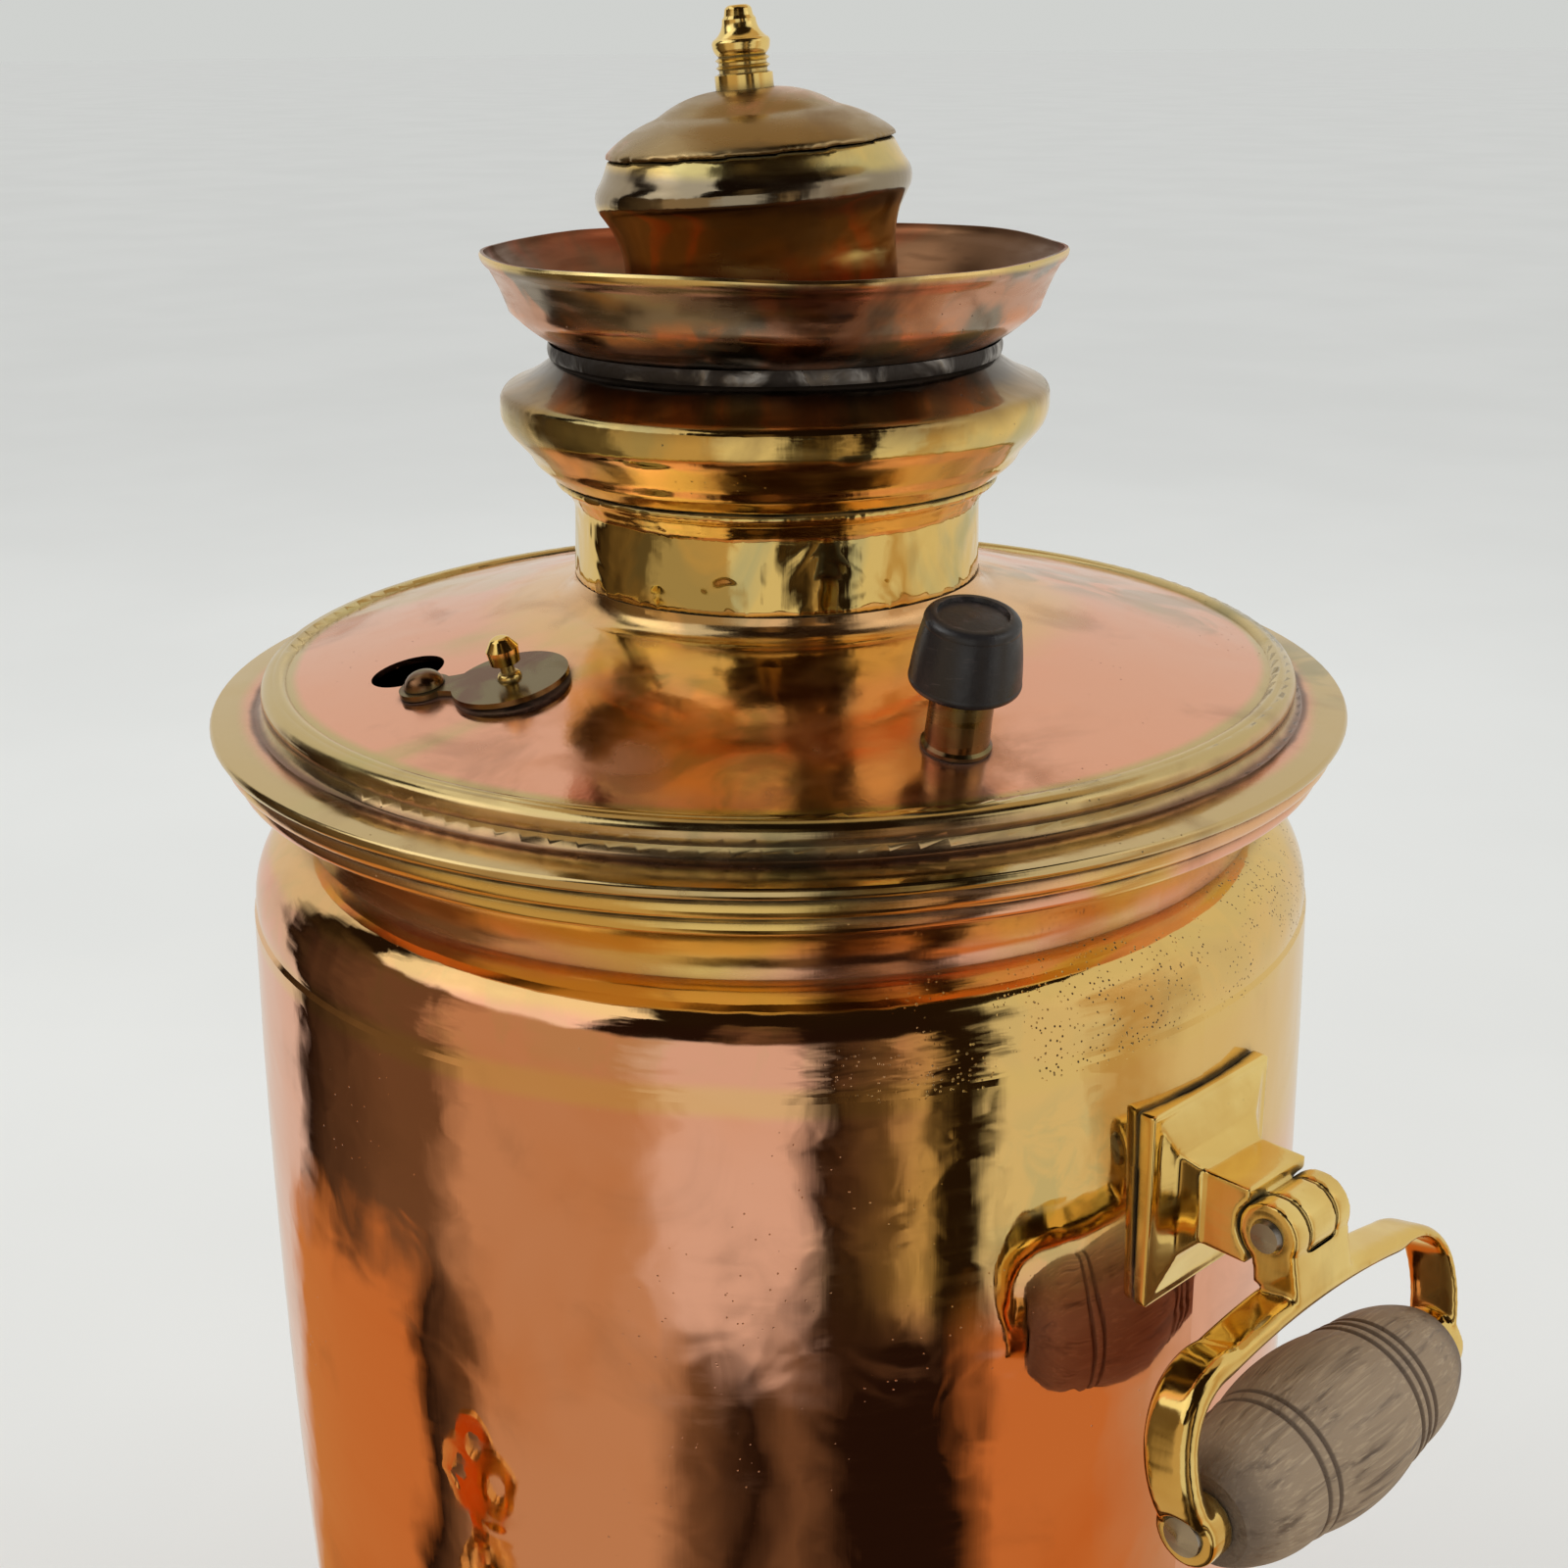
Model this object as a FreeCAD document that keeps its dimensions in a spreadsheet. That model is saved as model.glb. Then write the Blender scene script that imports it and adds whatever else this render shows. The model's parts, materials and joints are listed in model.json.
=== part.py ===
"""A jar-shaped charcoal samovar: a copper tank round a fire tube, with a lift-off lid, a teapot stand,
a smoke cap, two drop handles, a swinging steam vent cover and a plug tap. Millimetres, +Z up, the vertical
axis of the tank at x = y = 0, the tap towards -Y, the handles on +X and -X, the table at z = 0."""

import FreeCAD, Part
import math
import os
from types import SimpleNamespace

import Sketcher

Vector = FreeCAD.Vector
Rotation = FreeCAD.Rotation
Placement = FreeCAD.Placement

# The driving dimensions: alias, millimetres (or degrees or a count), what it is.
DRIVING = [
    ("sheet_wall", 1.5, "wall of the spun copper and brass shells"),
    ("seat_gap", 0.2, "gap under a piece that lifts off its seat"),
    ("pin_gap", 0.05, "radial running gap of a pin in its bore"),
    ("solder_gap", 0.1, "gap that solder fills between two soldered pieces"),
    ("foot_height", 16.0, "height of a foot under the base"),
    ("foot_radius", 13.5, "largest radius of a foot"),
    ("foot_inset", 18.0, "middle of each foot to the edges of the base"),
    ("base_side", 186.0, "side of the square base"),
    ("base_step", 9.0, "how far the upper slab of the base is set in"),
    ("base_lip", 5.0, "height of the lower slab of the base"),
    ("base_height", 14.0, "height of the base above its feet"),
    ("ash_hole_radius", 62.0, "hole in the base under the pedestal"),
    ("pedestal_foot_radius", 76.0, "radius of the pedestal on the base"),
    ("pedestal_waist_radius", 52.0, "narrowest radius of the pedestal"),
    ("pedestal_top_radius", 66.0, "radius of the pedestal under the tank"),
    ("pedestal_height", 52.0, "height of the pedestal"),
    ("draught_hole_radius", 4.0, "radius of an air hole in the pedestal"),
    ("draught_hole_count", 14.0, "number of air holes in the pedestal"),
    ("tank_height", 268.0, "pedestal top to the crease below the shoulder"),
    ("tank_radius", 125.0, "radius of the tank at the crease"),
    ("tank_heel_inset", 2.0, "how much narrower the tank is where its side turns in at the bottom"),
    ("tank_heel_height", 30.0, "height of the turn at the bottom of the tank"),
    ("tank_belly", 0.0105, "bow of the tank's side as a share of its height"),
    ("shoulder_height", 20.0, "crease to the foot of the collar"),
    ("shoulder_inset", 13.0, "how far the shoulder draws in from the crease to the mouth"),
    ("collar_height", 24.0, "height of the collar"),
    ("collar_cove_height", 14.5, "height of the hollow part of the collar"),
    ("collar_cove_flare", 8.0, "how far the top of the hollow part stands out past the mouth"),
    ("collar_bead_flare", 14.0, "how far the collar's lower bead stands out past the mouth"),
    ("collar_rim_flare", 16.4, "how far the collar's upper bead stands out past the mouth"),
    ("lid_seat_flare", 1.0, "how far the edge of the lid's ledge lies outside the mouth"),
    ("lid_overhang", 2.4, "how far the lid's edge stands out past the collar"),
    ("lid_edge", 2.6, "thickness of the lid's edge"),
    ("lid_step_flare", 5.2, "how far the raised step on the lid lies outside the mouth"),
    ("lid_step_height", 7.0, "height of the raised step over the lid's edge"),
    ("lid_cone_radius", 52.0, "radius where the lid's cone meets its flare"),
    ("lid_cone_height", 14.5, "rise of the lid's cone"),
    ("lid_flare_height", 5.5, "height of the flare under the neck"),
    ("skirt_depth", 12.0, "depth of the skirt under the lid"),
    ("neck_radius", 46.8, "radius of the brass neck on the lid"),
    ("neck_height", 23.0, "height of the neck"),
    ("neck_bead", 3.4, "how far the bead at the neck's top stands out"),
    ("fire_tube_radius", 38.0, "outer radius of the flue"),
    ("fire_box_radius", 49.0, "outer radius of the fire box"),
    ("fire_box_height", 130.0, "height of the fire box"),
    ("flue_rise", 23.0, "how far the flue stands up past the neck"),
    ("flue_lid_gap", 0.8, "gap between the flue and the ring in the lid"),
    ("grate_thickness", 4.0, "thickness of the grate"),
    ("ring_height", 28.0, "height of the bulged ring"),
    ("ring_radius", 61.8, "largest radius of the bulged ring"),
    ("ring_throat_radius", 47.2, "radius of the throat between ring and dish"),
    ("dish_height", 20.8, "height of the dish"),
    ("dish_foot_radius", 58.9, "radius where the dish's wall starts"),
    ("dish_rim_radius", 64.2, "radius of the dish's rim"),
    ("cap_hole_radius", 28.3, "hole in the dish's floor"),
    ("cap_play", 2.8, "radial play of the cap's loose spigot in that hole"),
    ("cap_tilt", 4.5, "degrees that the loose cap leans"),
    ("cap_lean_angle", -44.0, "degrees from the front towards which the cap leans"),
    ("cap_shift", 2.0, "how far the loose cap has slid in its hole"),
    ("cap_waist_radius", 30.2, "radius of the cap's waist"),
    ("cap_bulge_radius", 34.3, "largest radius of the cap"),
    ("cap_height", 38.2, "height of the cap's body over the dish's floor"),
    ("cap_dome_radius", 31.8, "radius of the cap's dome"),
    ("cap_dome_height", 12.2, "height of the cap's dome"),
    ("finial_height", 17.0, "height of the cap's finial"),
    ("finial_radius", 6.3, "radius of the finial's foot"),
    ("lid_turn", 22.0, "degrees that the lid is turned in the photograph"),
    ("knob_place", 93.5, "distance of the lid knobs from the axis"),
    ("knob_radius", 11.0, "largest radius of a lid knob"),
    ("knob_height", 15.5, "height of a lid knob"),
    ("knob_stem_radius", 6.5, "radius of a knob's stem"),
    ("knob_stem_height", 13.5, "height of a knob's stem"),
    ("stud_radius", 2.0, "radius of the studs through the lid and the cap"),
    ("vent_place", 88.7, "distance of the vent hole from the axis"),
    ("vent_angle", -20.0, "degrees of the vent hole from the front"),
    ("vent_radius", 8.2, "radius of the vent hole"),
    ("vent_reach", 19.5, "rivet to the middle of the vent cover"),
    ("rivet_place", 90.2, "distance of the vent's rivet from the axis"),
    ("rivet_angle", -10.0, "degrees of the vent's rivet from the front"),
    ("vent_open", 126.0, "degrees from closed to where the cover stands"),
    ("vent_cover_radius", 12.6, "radius of the vent cover"),
    ("vent_cover_thickness", 1.2, "thickness of the vent cover"),
    ("hinge_standoff", 24.5, "crease of the tank to the handle's hinge, outwards"),
    ("hinge_drop", 36.0, "crease of the tank to the handle's hinge, downwards"),
    ("handle_plate_width", 40.0, "width of the handle's plate"),
    ("handle_plate_height", 44.0, "height of the handle's plate"),
    ("handle_plate_standoff", 3.2, "crease of the tank to the plate's front, outwards"),
    ("lug_width", 20.0, "width of the lug on the plate"),
    ("lug_height", 17.0, "height of the lug on the plate"),
    ("knuckle_radius", 7.0, "radius of the hinge's knuckles"),
    ("knuckle_gap", 0.4, "side and round gap between the knuckles"),
    ("tongue_width", 8.8, "width of the middle knuckle"),
    ("hinge_pin_radius", 2.6, "radius of the hinge pin"),
    ("yoke_drop", 46.0, "hinge to grip, downwards"),
    ("yoke_out", 9.5, "hinge to grip, outwards"),
    ("yoke_half_span", 43.5, "middle of the handle to its boss"),
    ("yoke_bow", 4.0, "how far the arms bow out past the bosses"),
    ("yoke_arm_width", 14.0, "width of a handle arm"),
    ("yoke_arm_thickness", 7.0, "thickness of a handle arm"),
    ("grip_radius", 17.0, "largest radius of the wooden grip"),
    ("grip_end_radius", 10.5, "radius of the grip at its ends"),
    ("grip_rod_radius", 2.5, "radius of the rod through the grip"),
    ("tap_rise", 62.0, "pedestal top to the tap's middle"),
    ("tap_plate_radius", 27.0, "radius of the tap's back plate"),
    ("tap_tail_radius", 10.0, "radius of the tap's tail"),
    ("tap_standoff", 65.0, "crease of the tank to the tap's plug, outwards"),
    ("tap_barrel_radius", 15.0, "radius of the tap's barrel"),
    ("tap_barrel_height", 46.0, "height of the tap's barrel"),
    ("tap_plug_radius", 9.0, "radius of the plug at its top"),
    ("tap_plug_taper", 1.5, "how much the plug narrows to its foot"),
    ("water_way_radius", 4.5, "radius of the water way"),
    ("spout_bore_radius", 5.2, "radius of the bore drilled up the spout"),
    ("spout_reach", 40.0, "plug to the middle of the spout's mouth"),
    ("spout_drop", 48.0, "tap's middle to the spout's mouth"),
    ("spout_radius", 8.0, "outer radius of the spout"),
    ("key_height", 40.0, "height of the key's leaf"),
    ("key_thickness", 4.0, "thickness of the key's leaf"),
    ("key_lobe_radius", 11.0, "radius of a lobe of the key's leaf"),
]


class Size:
    """A number worked out from the sheet: its value now, and the formula that a constraint is bound to."""

    def __init__(self, value, formula):
        self.value = value
        self.formula = formula

    def __add__(self, other):
        other = as_size(other)
        return Size(self.value + other.value, f"({self.formula} + {other.formula})")

    def __sub__(self, other):
        other = as_size(other)
        return Size(self.value - other.value, f"({self.formula} - {other.formula})")

    def __mul__(self, other):
        other = as_size(other)
        return Size(self.value * other.value, f"({self.formula} * {other.formula})")

    def __truediv__(self, other):
        other = as_size(other)
        return Size(self.value / other.value, f"({self.formula} / {other.formula})")

    def __radd__(self, other):
        return as_size(other) + self

    def __rsub__(self, other):
        return as_size(other) - self

    def __neg__(self):
        return Size(-self.value, f"(0 - {self.formula})")


def as_size(number):
    """A Size as it is, or a plain number as one."""
    if isinstance(number, Size):
        return number
    return Size(float(number), f"({float(number)!r})")


def root_of(size):
    """The square root of a Size."""
    return Size(math.sqrt(size.value), f"sqrt({size.formula})")


doc = FreeCAD.newDocument("Samovar")
sheet = doc.addObject("Spreadsheet::Sheet", "dims")
for row, (alias, value, meaning) in enumerate(DRIVING, start=1):
    sheet.set(f"A{row}", alias)
    sheet.set(f"B{row}", str(value))
    sheet.set(f"C{row}", meaning)
    sheet.setAlias(f"B{row}", alias)
doc.recompute()
d = SimpleNamespace(**{alias: Size(value, f"dims.{alias}") for alias, value, _ in DRIVING})

# Radii that follow the tank, and places on the base.
d.tank_heel_radius = d.tank_radius - d.tank_heel_inset
d.mouth_radius = d.tank_radius - d.shoulder_inset
d.collar_cove_radius = d.mouth_radius + d.collar_cove_flare
d.collar_bead_radius = d.mouth_radius + d.collar_bead_flare
d.collar_rim_radius = d.mouth_radius + d.collar_rim_flare
d.lid_seat_radius = d.mouth_radius + d.lid_seat_flare
d.lid_radius = d.collar_rim_radius + d.lid_overhang
d.lid_step_radius = d.mouth_radius + d.lid_step_flare
d.hinge_reach = d.tank_radius + d.hinge_standoff
d.handle_plate_reach = d.tank_radius + d.handle_plate_standoff
d.tap_reach = d.tank_radius + d.tap_standoff
d.foot_spread = d.base_side / 2 - d.foot_inset

# Heights over the table, from the feet up.
Z_BASE = d.foot_height
Z_BASE_TOP = Z_BASE + d.base_height
Z_TANK = Z_BASE_TOP + d.pedestal_height
Z_CREASE = Z_TANK + d.tank_height
Z_MOUTH = Z_CREASE + d.shoulder_height
Z_COLLAR_TOP = Z_MOUTH + d.collar_height
Z_LID = Z_COLLAR_TOP + d.seat_gap
Z_LID_STEP = Z_LID + d.lid_edge + d.lid_step_height
Z_CONE_TOP = Z_LID_STEP + d.lid_cone_height
Z_NECK = Z_CONE_TOP + d.lid_flare_height
Z_NECK_TOP = Z_NECK + d.neck_height
Z_RING = Z_NECK_TOP + d.seat_gap
Z_THROAT = Z_RING + d.ring_height
Z_DISH_RIM = Z_THROAT + d.dish_height
Z_CAP = Z_THROAT + d.sheet_wall + d.seat_gap
Z_CAP_TOP = Z_CAP + d.cap_height
Z_FINIAL = Z_CAP_TOP + d.cap_dome_height
d.hinge_height = Z_CREASE - d.hinge_drop
d.tap_height = Z_TANK + d.tap_rise
d.flue_top = Z_NECK_TOP + d.flue_rise
CONE_RADIUS = d.lid_step_radius - 1.5
CONE_TILT = math.degrees(
    math.atan2(d.lid_cone_height.value, (CONE_RADIUS - d.lid_cone_radius).value)
)
YOKE_TILT = math.degrees(math.atan2(d.yoke_out.value, d.yoke_drop.value))

made = {}


def new_body(name):
    """A PartDesign body whose label names its file."""
    body = doc.addObject("PartDesign::Body", name)
    body.Label = name
    made[name] = body
    return body


def new_sketch(body, role, offset=None):
    """A sketch on one of the body's own origin planes, moved off it by a placement."""
    plane = next(f for f in body.Origin.OriginFeatures if f.Role == role)
    sketch = body.newObject("Sketcher::SketchObject", f"{body.Name}_{role[:2]}_sketch")
    sketch.AttachmentSupport = [(plane, "")]
    sketch.MapMode = "FlatFace"
    if offset is not None:
        sketch.AttachmentOffset = offset
    return sketch


def bind(sketch, constraint, size):
    """Adds a constraint and binds its value to the sheet."""
    index = sketch.addConstraint(constraint)
    if "dims." in size.formula:
        sketch.setExpression(f"Constraints[{index}]", size.formula)


def pin_point(sketch, geometry, end, x, y):
    """Holds one end of a curve at x, y of the sketch."""
    if x.value == 0 and "dims." not in x.formula:
        sketch.addConstraint(Sketcher.Constraint("PointOnObject", geometry, end, -2))
    else:
        bind(sketch, Sketcher.Constraint("DistanceX", -1, 1, geometry, end, x.value), x)
    if y.value == 0 and "dims." not in y.formula:
        sketch.addConstraint(Sketcher.Constraint("PointOnObject", geometry, end, -1))
    else:
        bind(sketch, Sketcher.Constraint("DistanceY", -1, 1, geometry, end, y.value), y)


def arc_radius(first, second, bow):
    """The radius of an arc whose middle stands off its chord by bow times the chord."""
    dx = second[0] - first[0]
    dy = second[1] - first[1]
    return root_of(dx * dx + dy * dy) * (1 / (8 * abs(bow)) + abs(bow) / 2)


def draw_path(sketch, points, closed):
    """Lines and arcs through points (x, y) or (x, y, bow). bow is for the curve that starts there: 0 is a
    line, above 0 an arc that bulges to the right of its way, below 0 to the left."""
    points = [(as_size(p[0]), as_size(p[1]), p[2] if len(p) > 2 else 0) for p in points]
    count = len(points) if closed else len(points) - 1
    ends = []
    for i in range(count):
        first, second = points[i], points[(i + 1) % len(points)]
        bow = first[2]
        a = Vector(first[0].value, first[1].value, 0)
        b = Vector(second[0].value, second[1].value, 0)
        if bow == 0:
            g = sketch.addGeometry(Part.LineSegment(a, b), False)
            ends.append((g, 1, 2))
            continue
        chord = b - a
        right = Vector(chord.y, -chord.x, 0).normalize()
        middle = (a + b) * 0.5 + right * (bow * chord.Length)
        arc = Part.Arc(a, middle, b)
        g = sketch.addGeometry(arc, False)
        starts_at_a = sketch.getPoint(g, 1).distanceToPoint(a) < 1e-6
        ends.append((g, 1, 2) if starts_at_a else (g, 2, 1))
        radius = arc_radius(first, second, bow)
        bind(sketch, Sketcher.Constraint("Radius", g, radius.value), radius)
    for i, (g, start, end) in enumerate(ends):
        pin_point(sketch, g, start, points[i][0], points[i][1])
        if i + 1 < len(ends):
            following = ends[i + 1]
        elif closed:
            following = ends[0]
        else:
            pin_point(sketch, g, end, points[-1][0], points[-1][1])
            continue
        sketch.addConstraint(Sketcher.Constraint("Coincident", g, end, following[0], following[1]))
    return sketch


def draw_circle(sketch, x, y, radius):
    """A circle at x, y of the sketch."""
    x, y, radius = as_size(x), as_size(y), as_size(radius)
    g = sketch.addGeometry(Part.Circle(Vector(x.value, y.value, 0), Vector(0, 0, 1), radius.value), False)
    pin_point(sketch, g, 3, x, y)
    bind(sketch, Sketcher.Constraint("Radius", g, radius.value), radius)
    return sketch


def draw_box(sketch, x_low, x_high, y_low, y_high):
    """A rectangle between four values."""
    return draw_path(
        sketch, [(x_low, y_low), (x_high, y_low), (x_high, y_high), (x_low, y_high)], True
    )


def feature(body, kind, profile):
    """A PartDesign feature made from a profile."""
    f = body.newObject(f"PartDesign::{kind}", f"{body.Name}_{kind}")
    f.Profile = profile
    profile.Visibility = False
    return f


def spin(body, points, kind="Revolution", role="XZ_Plane", axis="V_Axis", offset=None):
    """Turns an outline right round an axis of its sketch."""
    sketch = draw_path(new_sketch(body, role, offset), points, True)
    f = feature(body, kind, sketch)
    f.ReferenceAxis = (sketch, [axis])
    f.Angle = 360.0
    doc.recompute()
    return f


def extrude(body, sketch, length, kind="Pad", both_ways=False, reverse=False):
    """Pads or pockets a sketch by a Size."""
    f = feature(body, kind, sketch)
    f.Length = length.value
    if "dims." in length.formula:
        f.setExpression("Length", length.formula)
    f.Midplane = both_ways
    f.Reversed = reverse
    doc.recompute()
    return f


def volume_of(body):
    """The body's volume now."""
    return body.Shape.Volume


def cut(body, sketch, length, both_ways=False, reverse=False):
    """Pockets a sketch and stops if nothing was cut away."""
    before = volume_of(body)
    f = extrude(body, sketch, length, "Pocket", both_ways, reverse)
    if volume_of(body) >= before - 1e-6:
        raise RuntimeError(f"{body.Label}: a pocket cut nothing")
    return f


def repeat_round(body, features, count):
    """Repeats features round the body's Z axis."""
    pattern = body.newObject("PartDesign::PolarPattern", f"{body.Name}_pattern")
    pattern.Originals = features
    axis = next(f for f in body.Origin.OriginFeatures if f.Role == "Z_Axis")
    pattern.Axis = (axis, [""])
    pattern.Angle = 360.0
    pattern.Occurrences = int(round(count.value))
    pattern.setExpression("Occurrences", count.formula)
    body.Tip = pattern
    doc.recompute()
    return pattern


def wall_outline():
    """The tank's outer line from the pedestal to the crease, with the bow of each stretch."""
    return [
        (d.pedestal_top_radius - d.sheet_wall, Z_TANK, -0.05),
        (d.tank_heel_radius - 16.0, Z_TANK + d.tank_heel_height * 0.36, 0.21),
        (d.tank_heel_radius, Z_TANK + d.tank_heel_height, d.tank_belly.value),
        (d.tank_radius, Z_CREASE),
    ]


def tank_side_cut(body, gap):
    """Takes away what lies inside the tank's side, so that a plate seats on the tank."""
    lowest, upper = wall_outline()[2], wall_outline()[3]
    spin(
        body,
        [
            (0, lowest[1]),
            (lowest[0] + gap, lowest[1], lowest[2]),
            (upper[0] + gap, upper[1]),
            (0, upper[1]),
        ],
        "Groove",
    )


def offset_by(x=0.0, y=0.0, z=0.0):
    """An attachment offset: x and y in the sketch, z along its normal."""
    return Placement(Vector(x, y, z), Rotation())


# Feet and base

def make_feet():
    """Four turned bun feet, each with a tenon riveted over inside the base."""
    r = d.foot_radius
    tenon = d.foot_radius * 0.3
    for side, sx in (("left", -1), ("right", 1)):
        for end, sy in (("front", -1), ("back", 1)):
            foot = new_body(f"foot_{end}_{side}")
            spin(foot, [
                (0, 0),
                (r * 0.66, 0, 0.2),
                (r, d.foot_height * 0.36, 0.2),
                (r * 0.72, d.foot_height * 0.72, -0.2),
                (r * 0.8, d.foot_height),
                (tenon, d.foot_height),
                (tenon, d.foot_height + d.base_lip),
                (tenon + 1.4, d.foot_height + d.base_lip),
                (tenon + 0.6, d.foot_height + d.base_lip + 1.4),
                (0, d.foot_height + d.base_lip + 1.4),
            ])
            foot.Placement = Placement(
                Vector(sx * d.foot_spread.value, sy * d.foot_spread.value, 0), Rotation()
            )


def make_base():
    """The square base: a lower slab, an upper slab set in, hollow below, with the ash hole."""
    base = new_body("base_plate")
    half = d.base_side / 2
    upper = half - d.base_step
    inner = upper - d.sheet_wall * 2
    extrude(base, draw_box(new_sketch(base, "XY_Plane", offset_by(z=Z_BASE.value)),
                           -half, half, -half, half), d.base_lip)
    extrude(base, draw_box(new_sketch(base, "XY_Plane", offset_by(z=Z_BASE.value)),
                           -upper, upper, -upper, upper), d.base_height)
    hollow = draw_box(
        new_sketch(base, "XY_Plane", offset_by(z=(Z_BASE + d.base_lip).value)),
        -inner, inner, -inner, inner,
    )
    cut(base, hollow, d.base_height - d.base_lip - d.sheet_wall * 1.4, reverse=True)
    hole = draw_circle(new_sketch(base, "XY_Plane", offset_by(z=Z_BASE.value)), 0, 0, d.ash_hole_radius)
    cut(base, hole, d.base_height + 1.0, reverse=True)
    tenons = new_sketch(base, "XY_Plane", offset_by(z=Z_BASE.value))
    for sx in (-1, 1):
        for sy in (-1, 1):
            draw_circle(tenons, d.foot_spread * sx, d.foot_spread * sy, d.foot_radius * 0.3 + d.pin_gap)
    cut(base, tenons, d.base_lip, reverse=True)
    edges = [
        f"Edge{i + 1}"
        for i, e in enumerate(base.Shape.Edges)
        if len(e.Vertexes) == 2
        and abs(e.Vertexes[0].Z - Z_BASE_TOP.value) < 1e-4
        and abs(e.Vertexes[1].Z - Z_BASE_TOP.value) < 1e-4
        and e.Length > upper.value
    ]
    slab = base.Tip
    fillet = base.newObject("PartDesign::Fillet", "base_fillet")
    fillet.Base = (slab, edges)
    fillet.Radius = 3.0
    doc.recompute()


def make_pedestal():
    """The waisted pedestal, with a row of air holes under the fire box."""
    pedestal = new_body("pedestal")
    w = d.sheet_wall
    waist_z = Z_BASE_TOP + d.pedestal_height * 0.56
    foot, waist, top = d.pedestal_foot_radius, d.pedestal_waist_radius, d.pedestal_top_radius
    spin(pedestal, [
        (foot - 6.0, Z_BASE_TOP),
        (foot, Z_BASE_TOP),
        (foot, Z_BASE_TOP + 3.0),
        (foot - 3.0, Z_BASE_TOP + 4.5, -0.2),
        (waist, waist_z, -0.12),
        (top - 3.0, Z_TANK - 4.0),
        (top, Z_TANK - 3.0),
        (top, Z_TANK),
        (d.fire_box_radius + 1.0, Z_TANK),
        (d.fire_box_radius + 1.0, Z_TANK - w),
        (top - 5.0, Z_TANK - w - 1.5, 0.12),
        (waist - w, waist_z, 0.2),
        (foot - 5.5, Z_BASE_TOP + 4.0),
    ])
    height = Z_BASE_TOP + d.pedestal_height * 0.56
    hole = draw_circle(
        new_sketch(pedestal, "XZ_Plane", offset_by(z=0.0)), 0, height, d.draught_hole_radius
    )
    first = cut(pedestal, hole, d.pedestal_foot_radius + 1.0, reverse=True)
    repeat_round(pedestal, [first], d.draught_hole_count)


# Tank

def make_tank():
    """The copper tank wall, its bottom, the floor ring, and the moulded collar on its mouth."""
    w = d.sheet_wall
    low, heel, side, crease = wall_outline()
    bottom = new_body("tank_bottom")
    spin(bottom, [
        low,
        heel,
        (side[0], side[1]),
        (side[0] - w, side[1], -0.21),
        (heel[0] - 0.4, heel[1] + w, 0.05),
        (low[0], Z_TANK + w),
    ])
    shell = new_body("tank_shell")
    spin(shell, [
        side,
        crease,
        (d.tank_radius - 0.6, Z_CREASE + 1.2, 0.17),
        (d.mouth_radius, Z_MOUTH),
        (d.mouth_radius - w, Z_MOUTH, -0.17),
        (d.tank_radius - 0.6 - w, Z_CREASE + 0.4),
        (d.tank_radius - w, Z_CREASE - 1.0, -d.tank_belly.value),
        (d.tank_heel_radius - w, side[1]),
    ])
    inlet = draw_circle(
        new_sketch(shell, "XZ_Plane"), 0, d.tap_height, d.tap_tail_radius + d.solder_gap
    )
    cut(shell, inlet, d.tank_radius * 1.2, reverse=True)

    floor = new_body("tank_floor")
    spin(floor, [
        (d.fire_box_radius + d.solder_gap, Z_TANK + d.seat_gap),
        (low[0] - d.solder_gap, Z_TANK + d.seat_gap),
        (low[0] - d.solder_gap, Z_TANK + d.seat_gap + w),
        (d.fire_box_radius + w + d.solder_gap, Z_TANK + d.seat_gap + w),
        (d.fire_box_radius + w + d.solder_gap, Z_TANK + 8.0),
        (d.fire_box_radius + d.solder_gap, Z_TANK + 8.0),
    ])

    collar = new_body("tank_collar")
    cove_z = Z_MOUTH + d.collar_cove_height
    spin(collar, [
        (d.mouth_radius, Z_MOUTH, -0.14),
        (d.collar_cove_radius, cove_z),
        (d.collar_bead_radius - 1.0, cove_z + 0.4, 0.3),
        (d.collar_bead_radius - 1.0, cove_z + 4.2),
        (d.collar_rim_radius - 1.0, cove_z + 4.8, 0.3),
        (d.collar_rim_radius - 1.0, Z_COLLAR_TOP - 0.4),
        (d.collar_rim_radius - 1.6, Z_COLLAR_TOP),
        (d.lid_seat_radius, Z_COLLAR_TOP),
        (d.lid_seat_radius, Z_COLLAR_TOP - w),
        (d.collar_cove_radius - w, Z_COLLAR_TOP - w),
        (d.collar_cove_radius - w, cove_z + 1.0, 0.14),
        (d.mouth_radius - w, Z_MOUTH),
    ])


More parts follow.
